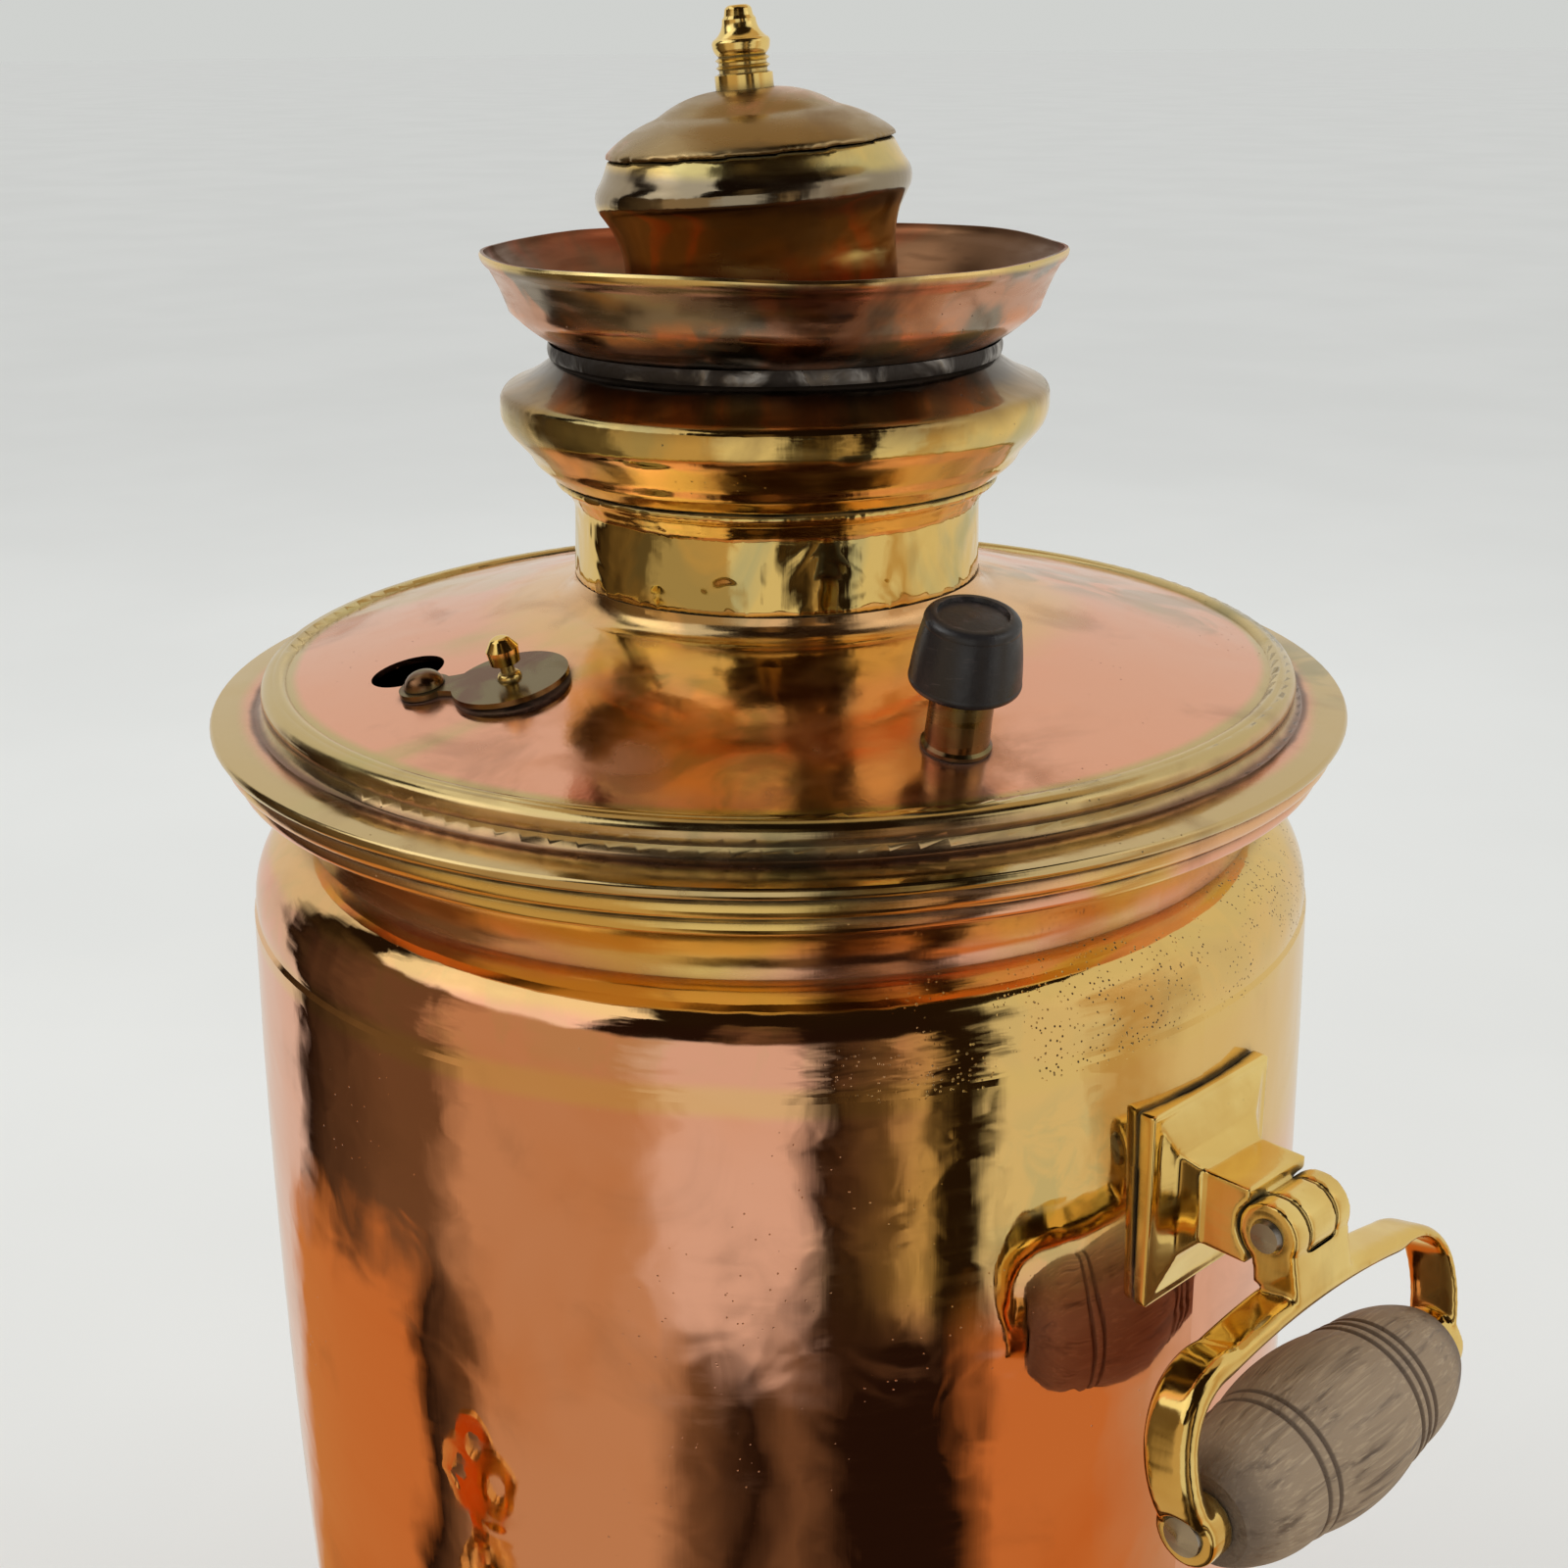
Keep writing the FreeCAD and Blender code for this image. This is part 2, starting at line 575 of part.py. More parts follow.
def make_fire_tube():
    """The fire box with a ledge for its grate, the flue soldered on its tapering top, and the grate."""
    w = d.sheet_wall
    bottom = Z_TANK - 6.0
    box_top = Z_TANK + d.fire_box_height
    seam = box_top + 40.0
    seam_radius = d.fire_tube_radius + 2.0
    fire_box = new_body("fire_box")
    spin(fire_box, [
        (d.fire_box_radius - 7.0, bottom),
        (d.fire_box_radius, bottom),
        (d.fire_box_radius, box_top, 0.08),
        (seam_radius, seam),
        (seam_radius - w, seam, -0.08),
        (d.fire_box_radius - w, box_top),
        (d.fire_box_radius - w, bottom + w),
        (d.fire_box_radius - 7.0, bottom + w),
    ])
    flue = new_body("flue")
    spin(flue, [
        (seam_radius, seam, -0.05),
        (d.fire_tube_radius, box_top + 80.0),
        (d.fire_tube_radius, d.flue_top),
        (d.fire_tube_radius - w, d.flue_top),
        (d.fire_tube_radius - w, box_top + 80.0, 0.05),
        (seam_radius - w, seam),
    ])

    grate = new_body("grate")
    seat = bottom + w
    spin(grate, [
        (0, seat),
        (d.fire_box_radius - w - 0.5, seat),
        (d.fire_box_radius - w - 0.5, seat + d.grate_thickness),
        (0, seat + d.grate_thickness + 2.0),
    ])
    hole = draw_circle(
        new_sketch(grate, "XY_Plane", offset_by(z=seat.value - 0.5)), d.fire_box_radius * 0.66, 0, 4.5
    )
    outer = cut(grate, hole, d.grate_thickness + 4.0, reverse=True)
    inner_hole = draw_circle(
        new_sketch(grate, "XY_Plane", offset_by(z=seat.value - 0.5)), d.fire_box_radius * 0.34, 0, 3.6
    )
    inner = cut(grate, inner_hole, d.grate_thickness + 4.0, reverse=True)
    repeat_round(grate, [outer, inner], Size(9.0, "9"))


# Lid

def on_cone(distance, degrees):
    """A frame on the lid's cone: X points down the slope outwards, Z stands square to the cone. The angle is
    counted from the front, towards +X."""
    r = CONE_RADIUS.value
    z = Z_LID_STEP.value + (r - distance) * math.tan(math.radians(CONE_TILT))
    a = math.radians(degrees - 90.0)
    place = Placement(
        Vector(distance * math.cos(a), distance * math.sin(a), z), Rotation(Vector(0, 0, 1), degrees - 90.0)
    )
    return place.multiply(Placement(Vector(), Rotation(Vector(0, 1, 0), CONE_TILT)))


KNOB_ANGLES = {"right": 90.0 - d.lid_turn.value, "left": 270.0 - d.lid_turn.value}


def vent_rivet_frame():
    """The frame of the vent's rivet on the lid's cone."""
    return on_cone(d.rivet_place.value, d.rivet_angle.value)


def make_lid():
    """The copper lid with its raised step, cone and flare, and the skirt that drops into the collar."""
    w = d.sheet_wall
    top = Z_LID + d.lid_edge
    lid = new_body("lid_shell")
    step = d.lid_step_radius
    spin(lid, [
        (step + 2.6, Z_LID),
        (d.lid_radius - 0.6, Z_LID, 0.25),
        (d.lid_radius - 0.6, top - 0.2, 0.02),
        (step + 3.6, top + 0.4, -0.2),
        (step + 1.4, top + d.lid_step_height * 0.45, 0.3),
        (step - 1.0, Z_LID_STEP + 0.9, 0.2),
        (CONE_RADIUS - 2.4, Z_LID_STEP + 0.2),
        (d.lid_cone_radius, Z_CONE_TOP, -0.18),
        (d.neck_radius, Z_NECK),
        (d.neck_radius - w, Z_NECK, 0.18),
        (d.lid_cone_radius - 0.6, Z_CONE_TOP - w),
        (CONE_RADIUS - 0.8, Z_LID_STEP - w),
        (step - 1.2, top + d.lid_step_height * 0.4, 0.1),
        (step - 0.2, Z_LID),
    ])
    cut(lid, draw_circle(
        new_sketch(lid, "XY_Plane", on_cone(d.vent_place.value, d.vent_angle.value)), 0, 0, d.vent_radius
    ), as_size(20.0), both_ways=True)
    for degrees in KNOB_ANGLES.values():
        cut(lid, draw_circle(
            new_sketch(lid, "XY_Plane", on_cone(d.knob_place.value, degrees)), 0, 0,
            d.stud_radius + d.pin_gap,
        ), as_size(12.0), both_ways=True)
    cut(lid, draw_circle(
        new_sketch(lid, "XY_Plane", vent_rivet_frame()), 0, 0, d.stud_radius + d.pin_gap
    ), as_size(12.0), both_ways=True)

    skirt = new_body("lid_skirt")
    outer = d.lid_seat_radius - 0.5
    spin(skirt, [
        (outer - w, Z_LID - d.skirt_depth),
        (outer, Z_LID - d.skirt_depth),
        (outer, Z_LID),
        (step - 1.3, Z_LID),
        (step - 1.4, Z_LID + 1.0),
        (outer - w, Z_LID + 1.0),
    ])


def make_neck():
    """The brass neck on the lid, with a bead at its top and a ring that closes on the flue."""
    w = d.sheet_wall
    neck = new_body("chimney_neck")
    r = d.neck_radius
    ring = d.fire_tube_radius + d.flue_lid_gap
    spin(neck, [
        (r, Z_NECK),
        (r - 0.7, Z_NECK_TOP - 6.0),
        (r + 0.6, Z_NECK_TOP - 4.5, -0.2),
        (r + d.neck_bead, Z_NECK_TOP - 2.0, 0.2),
        (r + d.neck_bead - 0.2, Z_NECK_TOP),
        (r - 2.2, Z_NECK_TOP),
        (r - 2.2, Z_NECK + w),
        (ring, Z_NECK + w),
        (ring, Z_NECK),
    ])


def make_knobs():
    """Each lid knob: a polished stem, a black knob with an inset top, and its stud and nut."""
    for side, degrees in KNOB_ANGLES.items():
        frame = on_cone(d.knob_place.value, degrees)
        stem = new_body(f"knob_stem_{side}")
        rs, hs = d.knob_stem_radius, d.knob_stem_height
        bore = d.stud_radius + d.pin_gap
        spin(stem, [
            (bore, 0), (rs + 0.6, 0), (rs + 0.6, 0.8), (rs, 1.4), (rs - 0.2, hs), (bore, hs),
        ])
        stem.Placement = frame
        knob = new_body(f"knob_{side}")
        rk, hk = d.knob_radius, d.knob_height
        spin(knob, [
            (bore, hs),
            (rk - 1.2, hs, 0.25),
            (rk, hs + 2.0, 0.02),
            (rk * 0.86, hs + hk - 2.2, 0.22),
            (rk * 0.7, hs + hk, 0),
            (rk * 0.64, hs + hk),
            (rk * 0.62, hs + hk - 0.8),
            (0, hs + hk - 0.6),
            (0, hs + hk * 0.6),
            (bore, hs + hk * 0.6),
        ])
        knob.Placement = frame
        stud = new_body(f"knob_stud_{side}")
        below = d.sheet_wall + 5.0
        spin(stud, [
            (0, -below),
            (d.stud_radius, -below),
            (d.stud_radius, hs + hk * 0.55),
            (0, hs + hk * 0.55),
        ])
        stud.Placement = frame
        nut = new_body(f"knob_nut_{side}")
        make_hex(nut, -(d.sheet_wall + 3.0), as_size(2.8), d.stud_radius * 1.9)
        nut.Placement = frame


def make_hex(body, bottom, height, half_flats):
    """A hexagon nut with a hole for a stud, standing on bottom."""
    sketch = new_sketch(body, "XY_Plane", offset_by(z=bottom.value))
    corner = half_flats / math.cos(math.radians(30))
    draw_path(sketch, [
        (corner * math.cos(math.radians(60 * i)), corner * math.sin(math.radians(60 * i)))
        for i in range(6)
    ], True)
    draw_circle(sketch, 0, 0, d.stud_radius + d.pin_gap)
    extrude(body, sketch, height)


def make_vent():
    """The vent cover: a disc and a tail riveted to the lid, with a small faceted knob."""
    frame = vent_rivet_frame()
    hole = on_cone(d.vent_place.value, d.vent_angle.value).Base
    local = frame.inverse().multVec(hole)
    closed = math.degrees(math.atan2(local.y, local.x))
    standing = frame.multiply(Placement(Vector(), Rotation(Vector(0, 0, 1), closed - d.vent_open.value)))
    lift, t = d.seat_gap, d.vent_cover_thickness
    cover = new_body("vent_cover")
    extrude(cover, draw_circle(
        new_sketch(cover, "XY_Plane", offset_by(z=lift.value)), d.vent_reach, 0, d.vent_cover_radius
    ), t)
    extrude(cover, draw_circle(new_sketch(cover, "XY_Plane", offset_by(z=lift.value)), 0, 0, 5.6), t)
    extrude(cover, draw_path(new_sketch(cover, "XY_Plane", offset_by(z=lift.value)), [
        (0, -4.4, -0.12), (d.vent_reach - d.vent_cover_radius + 3.0, -5.4),
        (d.vent_reach - d.vent_cover_radius + 3.0, 5.4, -0.12), (0, 4.4),
    ], True), t)
    bore = new_sketch(cover, "XY_Plane", offset_by(z=lift.value - 1.0))
    cut(cover, draw_circle(bore, 0, 0, d.stud_radius + d.pin_gap * 2), t + 3.0, reverse=True)
    cut(cover, draw_circle(
        new_sketch(cover, "XY_Plane", offset_by(z=lift.value - 1.0)), d.vent_reach, 0, d.pin_gap + 1.2
    ), t + 3.0, reverse=True)
    cover.Placement = standing

    top = lift + t
    knob = new_body("vent_cover_knob")
    spin(knob, [
        (0, lift),
        (1.2, lift),
        (1.2, top),
        (2.6, top, 0.2),
        (1.5, top + 1.4),
        (1.5, top + 3.0),
        (3.2, top + 3.6),
        (3.5, top + 6.8),
        (2.2, top + 8.6, 0.15),
        (0.8, top + 9.2),
        (0, top + 9.2),
    ])
    knob.Placement = standing.multiply(Placement(Vector(d.vent_reach.value, 0, 0), Rotation()))

    rivet = new_body("vent_rivet")
    under = -(d.sheet_wall + 0.3)
    spin(rivet, [
        (0, under - 1.2),
        (d.stud_radius + 1.4, under - 1.2),
        (d.stud_radius + 1.4, under),
        (d.stud_radius, under),
        (d.stud_radius, top + 0.2),
        (4.4, top + 0.2, 0.18),
        (0.8, top + 3.2),
        (0, top + 3.2),
    ])
    rivet.Placement = frame


# Teapot stand and cap

def make_stand():
    """The bulged ring that sits on the neck, the flared dish soldered to it, and the bead of solder."""
    w = d.sheet_wall
    ring = new_body("stand_ring")
    r, throat = d.ring_radius, d.ring_throat_radius
    foot = d.neck_radius + d.neck_bead + 0.6
    spigot = d.neck_radius - 2.2 - 0.4
    spin(ring, [
        (foot, Z_RING),
        (foot + 3.6, Z_RING + 3.2, 0.15),
        (foot + 4.4, Z_RING + 5.0),
        (r - 2.2, Z_RING + 10.0, 0.12),
        (r, Z_RING + 17.0, 0.2),
        (r - 1.4, Z_RING + 19.8, -0.06),
        (throat, Z_THROAT),
        (throat - w, Z_THROAT, 0.06),
        (r - 2.8, Z_RING + 18.4),
        (r - w, Z_RING + 16.6, -0.12),
        (r - 3.6, Z_RING + 10.8),
        (foot + 2.6, Z_RING + 5.6),
        (foot - 1.0, Z_RING + w),
        (spigot - w, Z_RING + w),
        (spigot - w, Z_RING - 6.0),
        (spigot, Z_RING - 6.0),
        (spigot, Z_RING),
    ])
    dish = new_body("stand_dish")
    wall_z = Z_THROAT + d.dish_height * 0.4
    spin(dish, [
        (d.cap_hole_radius, Z_THROAT),
        (throat, Z_THROAT, 0.04),
        (d.dish_foot_radius, wall_z, 0.08),
        (d.dish_rim_radius - 1.0, Z_DISH_RIM - 2.4),
        (d.dish_rim_radius, Z_DISH_RIM - 0.6, 0.3),
        (d.dish_rim_radius - 1.4, Z_DISH_RIM),
        (d.dish_rim_radius - 2.6, Z_DISH_RIM - 2.8, -0.08),
        (d.dish_foot_radius - w, wall_z + 1.2, -0.04),
        (throat + 0.4, Z_THROAT + w),
        (d.cap_hole_radius, Z_THROAT + w),
    ])
    solder = new_body("solder_bead")
    spin(solder, [
        (throat + 0.3, Z_THROAT),
        (throat + 3.4, Z_THROAT - 1.6, 0.1),
        (throat + 3.4, Z_THROAT + 1.6),
    ])


def leaning_cap():
    """Where the loose cap stands: leaning, slid aside in its hole, and resting on one edge of its waist."""
    a = math.radians(d.cap_lean_angle.value)
    way = Vector(math.sin(a), -math.cos(a), 0)
    lift = d.cap_waist_radius.value * math.sin(math.radians(d.cap_tilt.value))
    foot = Vector(0, 0, Z_CAP.value)
    lean = Rotation(Vector(0, 0, 1).cross(way), d.cap_tilt.value)
    return Placement(foot + way * d.cap_shift.value + Vector(0, 0, lift), lean).multiply(
        Placement(foot * -1, Rotation())
    )


def make_cap():
    """The smoke cap: a waisted body, a dome soldered on, a turned finial and its nut."""
    w = d.sheet_wall
    waist, bulge = d.cap_waist_radius, d.cap_bulge_radius
    spigot = d.cap_hole_radius - d.cap_play
    h = d.cap_height
    body = new_body("cap_body")
    spin(body, [
        (spigot, Z_CAP - 6.0),
        (spigot, Z_CAP),
        (waist, Z_CAP),
        (waist, Z_CAP + h * 0.44, -0.05),
        (waist + 2.3, Z_CAP + h * 0.64),
        (bulge - 0.4, Z_CAP + h * 0.7, 0.2),
        (bulge - 1.0, Z_CAP + h * 0.88),
        (d.cap_dome_radius - 0.6, Z_CAP_TOP),
        (d.cap_dome_radius - 0.6 - w, Z_CAP_TOP),
        (bulge - 1.0 - w, Z_CAP + h * 0.86, -0.2),
        (bulge - 0.4 - w, Z_CAP + h * 0.71),
        (waist + 2.3 - w, Z_CAP + h * 0.65, 0.05),
        (waist - w, Z_CAP + h * 0.44),
        (waist - w, Z_CAP + w),
        (spigot - w, Z_CAP),
        (spigot - w, Z_CAP - 6.0),
    ])
    dome = new_body("cap_dome")
    rd, hd = d.cap_dome_radius, d.cap_dome_height
    hole = d.stud_radius + d.pin_gap
    spin(dome, [
        (rd - 0.6 - w, Z_CAP_TOP),
        (rd, Z_CAP_TOP),
        (rd, Z_CAP_TOP + 1.0, 0.06),
        (rd * 0.62, Z_CAP_TOP + hd * 0.62, 0.07),
        (d.finial_radius + 0.4, Z_FINIAL),
        (hole, Z_FINIAL),
        (hole, Z_FINIAL - w),
        (d.finial_radius, Z_FINIAL - w - 0.3, -0.07),
        (rd * 0.61, Z_CAP_TOP + hd * 0.62 - w, -0.06),
        (rd - 1.6, Z_CAP_TOP + 0.6),
    ])
    finial = new_body("cap_finial")
    f, hf = d.finial_radius, d.finial_height
    spin(finial, [
        (0, Z_FINIAL - 7.0),
        (d.stud_radius, Z_FINIAL - 7.0),
        (d.stud_radius, Z_FINIAL),
        (f, Z_FINIAL),
        (f, Z_FINIAL + hf * 0.18),
        (f * 0.83, Z_FINIAL + hf * 0.2),
        (f * 0.83, Z_FINIAL + hf * 0.24),
        (f * 0.94, Z_FINIAL + hf * 0.27),
        (f * 0.83, Z_FINIAL + hf * 0.3),
        (f * 0.83, Z_FINIAL + hf * 0.33),
        (f * 0.94, Z_FINIAL + hf * 0.36),
        (f * 0.8, Z_FINIAL + hf * 0.4, 0.12),
        (f * 0.99, Z_FINIAL + hf * 0.53, 0.2),
        (f * 0.88, Z_FINIAL + hf * 0.62, -0.12),
        (f * 0.58, Z_FINIAL + hf * 0.84),
        (f * 0.5, Z_FINIAL + hf * 0.88),
        (f * 0.46, Z_FINIAL + hf * 0.96, 0.2),
        (f * 0.12, Z_FINIAL + hf),
        (0, Z_FINIAL + hf),
    ])
    nut = new_body("cap_finial_nut")
    make_hex(nut, Z_FINIAL - w - 3.0, as_size(2.8), d.stud_radius * 1.9)
    for piece in (body, dome, finial, nut):
        piece.Placement = leaning_cap()


# Handles

def make_handle(side, turn):
    """One drop handle: its soldered bracket, and the yoke, pin, rod and wooden grip that swing."""
    hx, hz = d.hinge_reach, d.hinge_height
    k, gap, tongue = d.knuckle_radius, d.knuckle_gap, d.tongue_width
    place = Placement(Vector(), Rotation(Vector(0, 0, 1), turn))
    ear_face = d.lug_width / 2

    bracket = new_body(f"handle_bracket_{side}")
    inner = d.tank_radius - 12.0
    front = d.handle_plate_reach
    half_w, half_h = d.handle_plate_width / 2, d.handle_plate_height / 2
    plate = draw_box(new_sketch(bracket, "YZ_Plane", offset_by(z=inner.value)),
                     -half_w, half_w, hz - half_h, hz + half_h)
    extrude(bracket, plate, front - inner)
    wide = draw_box(new_sketch(bracket, "YZ_Plane", offset_by(z=front.value)),
                    -half_w + 2.0, half_w - 2.0, hz - half_h + 2.0, hz + half_h - 2.0)
    middle = draw_box(new_sketch(bracket, "YZ_Plane", offset_by(z=front.value + 2.0)),
                      -(ear_face + 3.4), ear_face + 3.4,
                      hz - d.lug_height / 2 - 3.4, hz + d.lug_height / 2 + 3.4)
    narrow = draw_box(new_sketch(bracket, "YZ_Plane", offset_by(z=front.value + 5.5)),
                      -ear_face, ear_face, hz - d.lug_height / 2, hz + d.lug_height / 2)
    flare = feature(bracket, "AdditiveLoft", wide)
    flare.Sections = [middle, narrow]
    flare.Ruled = True
    doc.recompute()
    lug = draw_box(new_sketch(bracket, "YZ_Plane", offset_by(z=front.value + 5.0)),
                   -ear_face, ear_face, hz - d.lug_height / 2, hz + d.lug_height / 2)
    extrude(bracket, lug, hx - k - front + 2.4 - 5.0)
    scoop = draw_circle(new_sketch(bracket, "XZ_Plane"), hx, hz, k + gap)
    cut(bracket, scoop, d.lug_width + 4.0, both_ways=True)
    knuckle = new_sketch(bracket, "XZ_Plane")
    draw_path(knuckle, [
        (hx - k - 4.0, hz - k * 0.72), (hx - k * 0.7, hz - k * 0.72), (hx - k * 0.7, hz + k * 0.72),
        (hx - k - 4.0, hz + k * 0.72),
    ], True)
    extrude(bracket, knuckle, tongue, both_ways=True)
    barrel = draw_circle(new_sketch(bracket, "XZ_Plane"), hx, hz, k)
    extrude(bracket, barrel, tongue, both_ways=True)
    bore = draw_circle(new_sketch(bracket, "XZ_Plane"), hx, hz, d.hinge_pin_radius + d.pin_gap)
    cut(bracket, bore, tongue + 4.0, both_ways=True)
    tank_side_cut(bracket, d.solder_gap)
    bracket.Placement = place

    yoke = new_body(f"handle_yoke_{side}")
    saddle = draw_path(new_sketch(yoke, "XZ_Plane"), [
        (hx - k * 0.5, hz - k * 0.85),
        (hx - 2.6, hz - 12.0),
        (hx + d.yoke_out - 1.0, hz - 13.0),
        (hx + k * 0.94, hz - k * 0.34),
    ], True)
    extrude(yoke, saddle, d.lug_width, both_ways=True)
    ears = draw_circle(new_sketch(yoke, "XZ_Plane"), hx, hz, k)
    extrude(yoke, ears, d.lug_width, both_ways=True)
    slot = draw_circle(new_sketch(yoke, "XZ_Plane"), hx, hz, k + gap)
    slot_cut = cut(yoke, slot, tongue + gap * 2, both_ways=True)
    add_bow(yoke)
    for sy in (-1, 1):
        offset = offset_by(z=-sy * (d.yoke_half_span.value + 3.5))
        boss = draw_circle(new_sketch(yoke, "XZ_Plane", offset), hx + d.yoke_out, hz - d.yoke_drop, 7.0)
        extrude(yoke, boss, as_size(7.0), reverse=(sy < 0))
    for radius, x, z in ((d.hinge_pin_radius, hx, hz),
                         (d.grip_rod_radius, hx + d.yoke_out, hz - d.yoke_drop)):
        cut(yoke, draw_circle(new_sketch(yoke, "XZ_Plane"), x, z, radius + 0.02),
            d.yoke_half_span * 2 + 40.0, both_ways=True)
    for sy in (-1, 1):
        spot_face = new_sketch(yoke, "XZ_Plane", offset_by(z=-sy * (d.yoke_half_span.value + 3.5)))
        draw_circle(spot_face, hx + d.yoke_out, hz - d.yoke_drop, d.grip_rod_radius + 2.2)
        cut(yoke, spot_face, as_size(12.0), reverse=(sy < 0))
    yoke.Placement = place

    turned_piece(f"hinge_pin_{side}", hx, hz, place, [
        (0, -(ear_face + 1.4)),
        (d.hinge_pin_radius + 0.6, -(ear_face + 1.2), 0),
        (d.hinge_pin_radius + 1.1, -(ear_face + 0.05)),
        (d.hinge_pin_radius, -(ear_face + 0.05)),
        (d.hinge_pin_radius, ear_face + 0.05),
        (d.hinge_pin_radius + 1.1, ear_face + 0.05),
        (d.hinge_pin_radius + 0.6, ear_face + 1.2),
        (0, ear_face + 1.4),
    ])
    gx, gz = hx + d.yoke_out, hz - d.yoke_drop
    end = d.yoke_half_span + 3.5
    turned_piece(f"grip_rod_{side}", gx, gz, place, [
        (0, -(end + 1.6)),
        (d.grip_rod_radius + 1.6, -(end + 0.8)),
        (d.grip_rod_radius + 1.8, -(end + 0.05)),
        (d.grip_rod_radius, -(end + 0.05)),
        (d.grip_rod_radius, end + 0.05),
        (d.grip_rod_radius + 1.8, end + 0.05),
        (d.grip_rod_radius + 1.6, end + 0.8),
        (0, end + 1.6),
    ])
    make_grip(side, gx, gz, place)


def turned_piece(name, x, z, place, points):
    """A piece turned about a line along Y through x, z. Points are (radius, y)."""
    body = new_body(name)
    offset = offset_by(x=x.value, y=0.0, z=z.value)
    spin(body, points, role="XY_Plane", offset=offset)
    body.Placement = place
    return body


def make_grip(side, x, z, place):
    """The turned wooden grip: a barrel with two groups of grooves."""
    end = d.yoke_half_span - 3.7
    r, re = d.grip_radius, d.grip_end_radius
    bore = d.grip_rod_radius + d.pin_gap
    groove = 0.5

    def swell(share):
        """The barrel's radius at a share of its half length."""
        return re + (r - re) * math.cos(math.radians(90 * share)) ** 0.75

    points = [(bore, -end), (re - 0.8, -end), (re, -(end - 0.8), 0.07)]
    places = [-0.5, -0.42, 0.34, 0.42, 0.5]
    for share in places:
        y = end * share
        size = swell(abs(share))
        points += [(size, y - 0.7), (size - groove, y), (size, y + 0.7, 0.06)]
    points += [(re, end - 0.8), (re - 0.8, end), (bore, end)]
    turned_piece(f"grip_{side}", x, z, place, points)


def add_bow(yoke):
    """Sweeps the two arms in the plane that hangs through the hinge and the grip."""
    hx, hz = d.hinge_reach.value, d.hinge_height.value
    plane = Placement(Vector(0, hz, hx), Rotation())
    drop = math.hypot(d.yoke_drop.value, d.yoke_out.value)
    reach = root_of(d.yoke_drop * d.yoke_drop + d.yoke_out * d.yoke_out)
    lean = Placement(Vector(), Rotation(Vector(1, 0, 0), -YOKE_TILT))
    path = new_sketch(yoke, "YZ_Plane", plane.multiply(lean))
    span, bow = d.yoke_half_span, d.yoke_bow
    top = as_size(-15.5)
    low = -reach
    draw_path(path, [
        (-span, low, -0.1),
        (-(span + bow), low * 0.62, -0.2),
        (-(span - 12.0), top - 1.5, -0.04),
        (span - 12.0, top - 1.5, -0.2),
        (span + bow, low * 0.62, -0.1),
        (span, low),
    ], False)
    start = plane.multiply(lean).multiply(
        Placement(Vector(-span.value, -drop, 0), Rotation(Vector(1, 0, 0), 90))
    )
    section = new_sketch(yoke, "YZ_Plane", start)
    a, b = d.yoke_arm_thickness / 2, d.yoke_arm_width / 2
    draw_path(section, [(-a, -b * 0.55, 0.3), (a, -b * 0.55), (a, b * 0.55, 0.3), (-a, b * 0.55)], True)
    pipe = feature(yoke, "AdditivePipe", section)
    pipe.Spine = (path, [])
    pipe.Mode = "Standard"
    path.Visibility = False
    doc.recompute()


# Tap

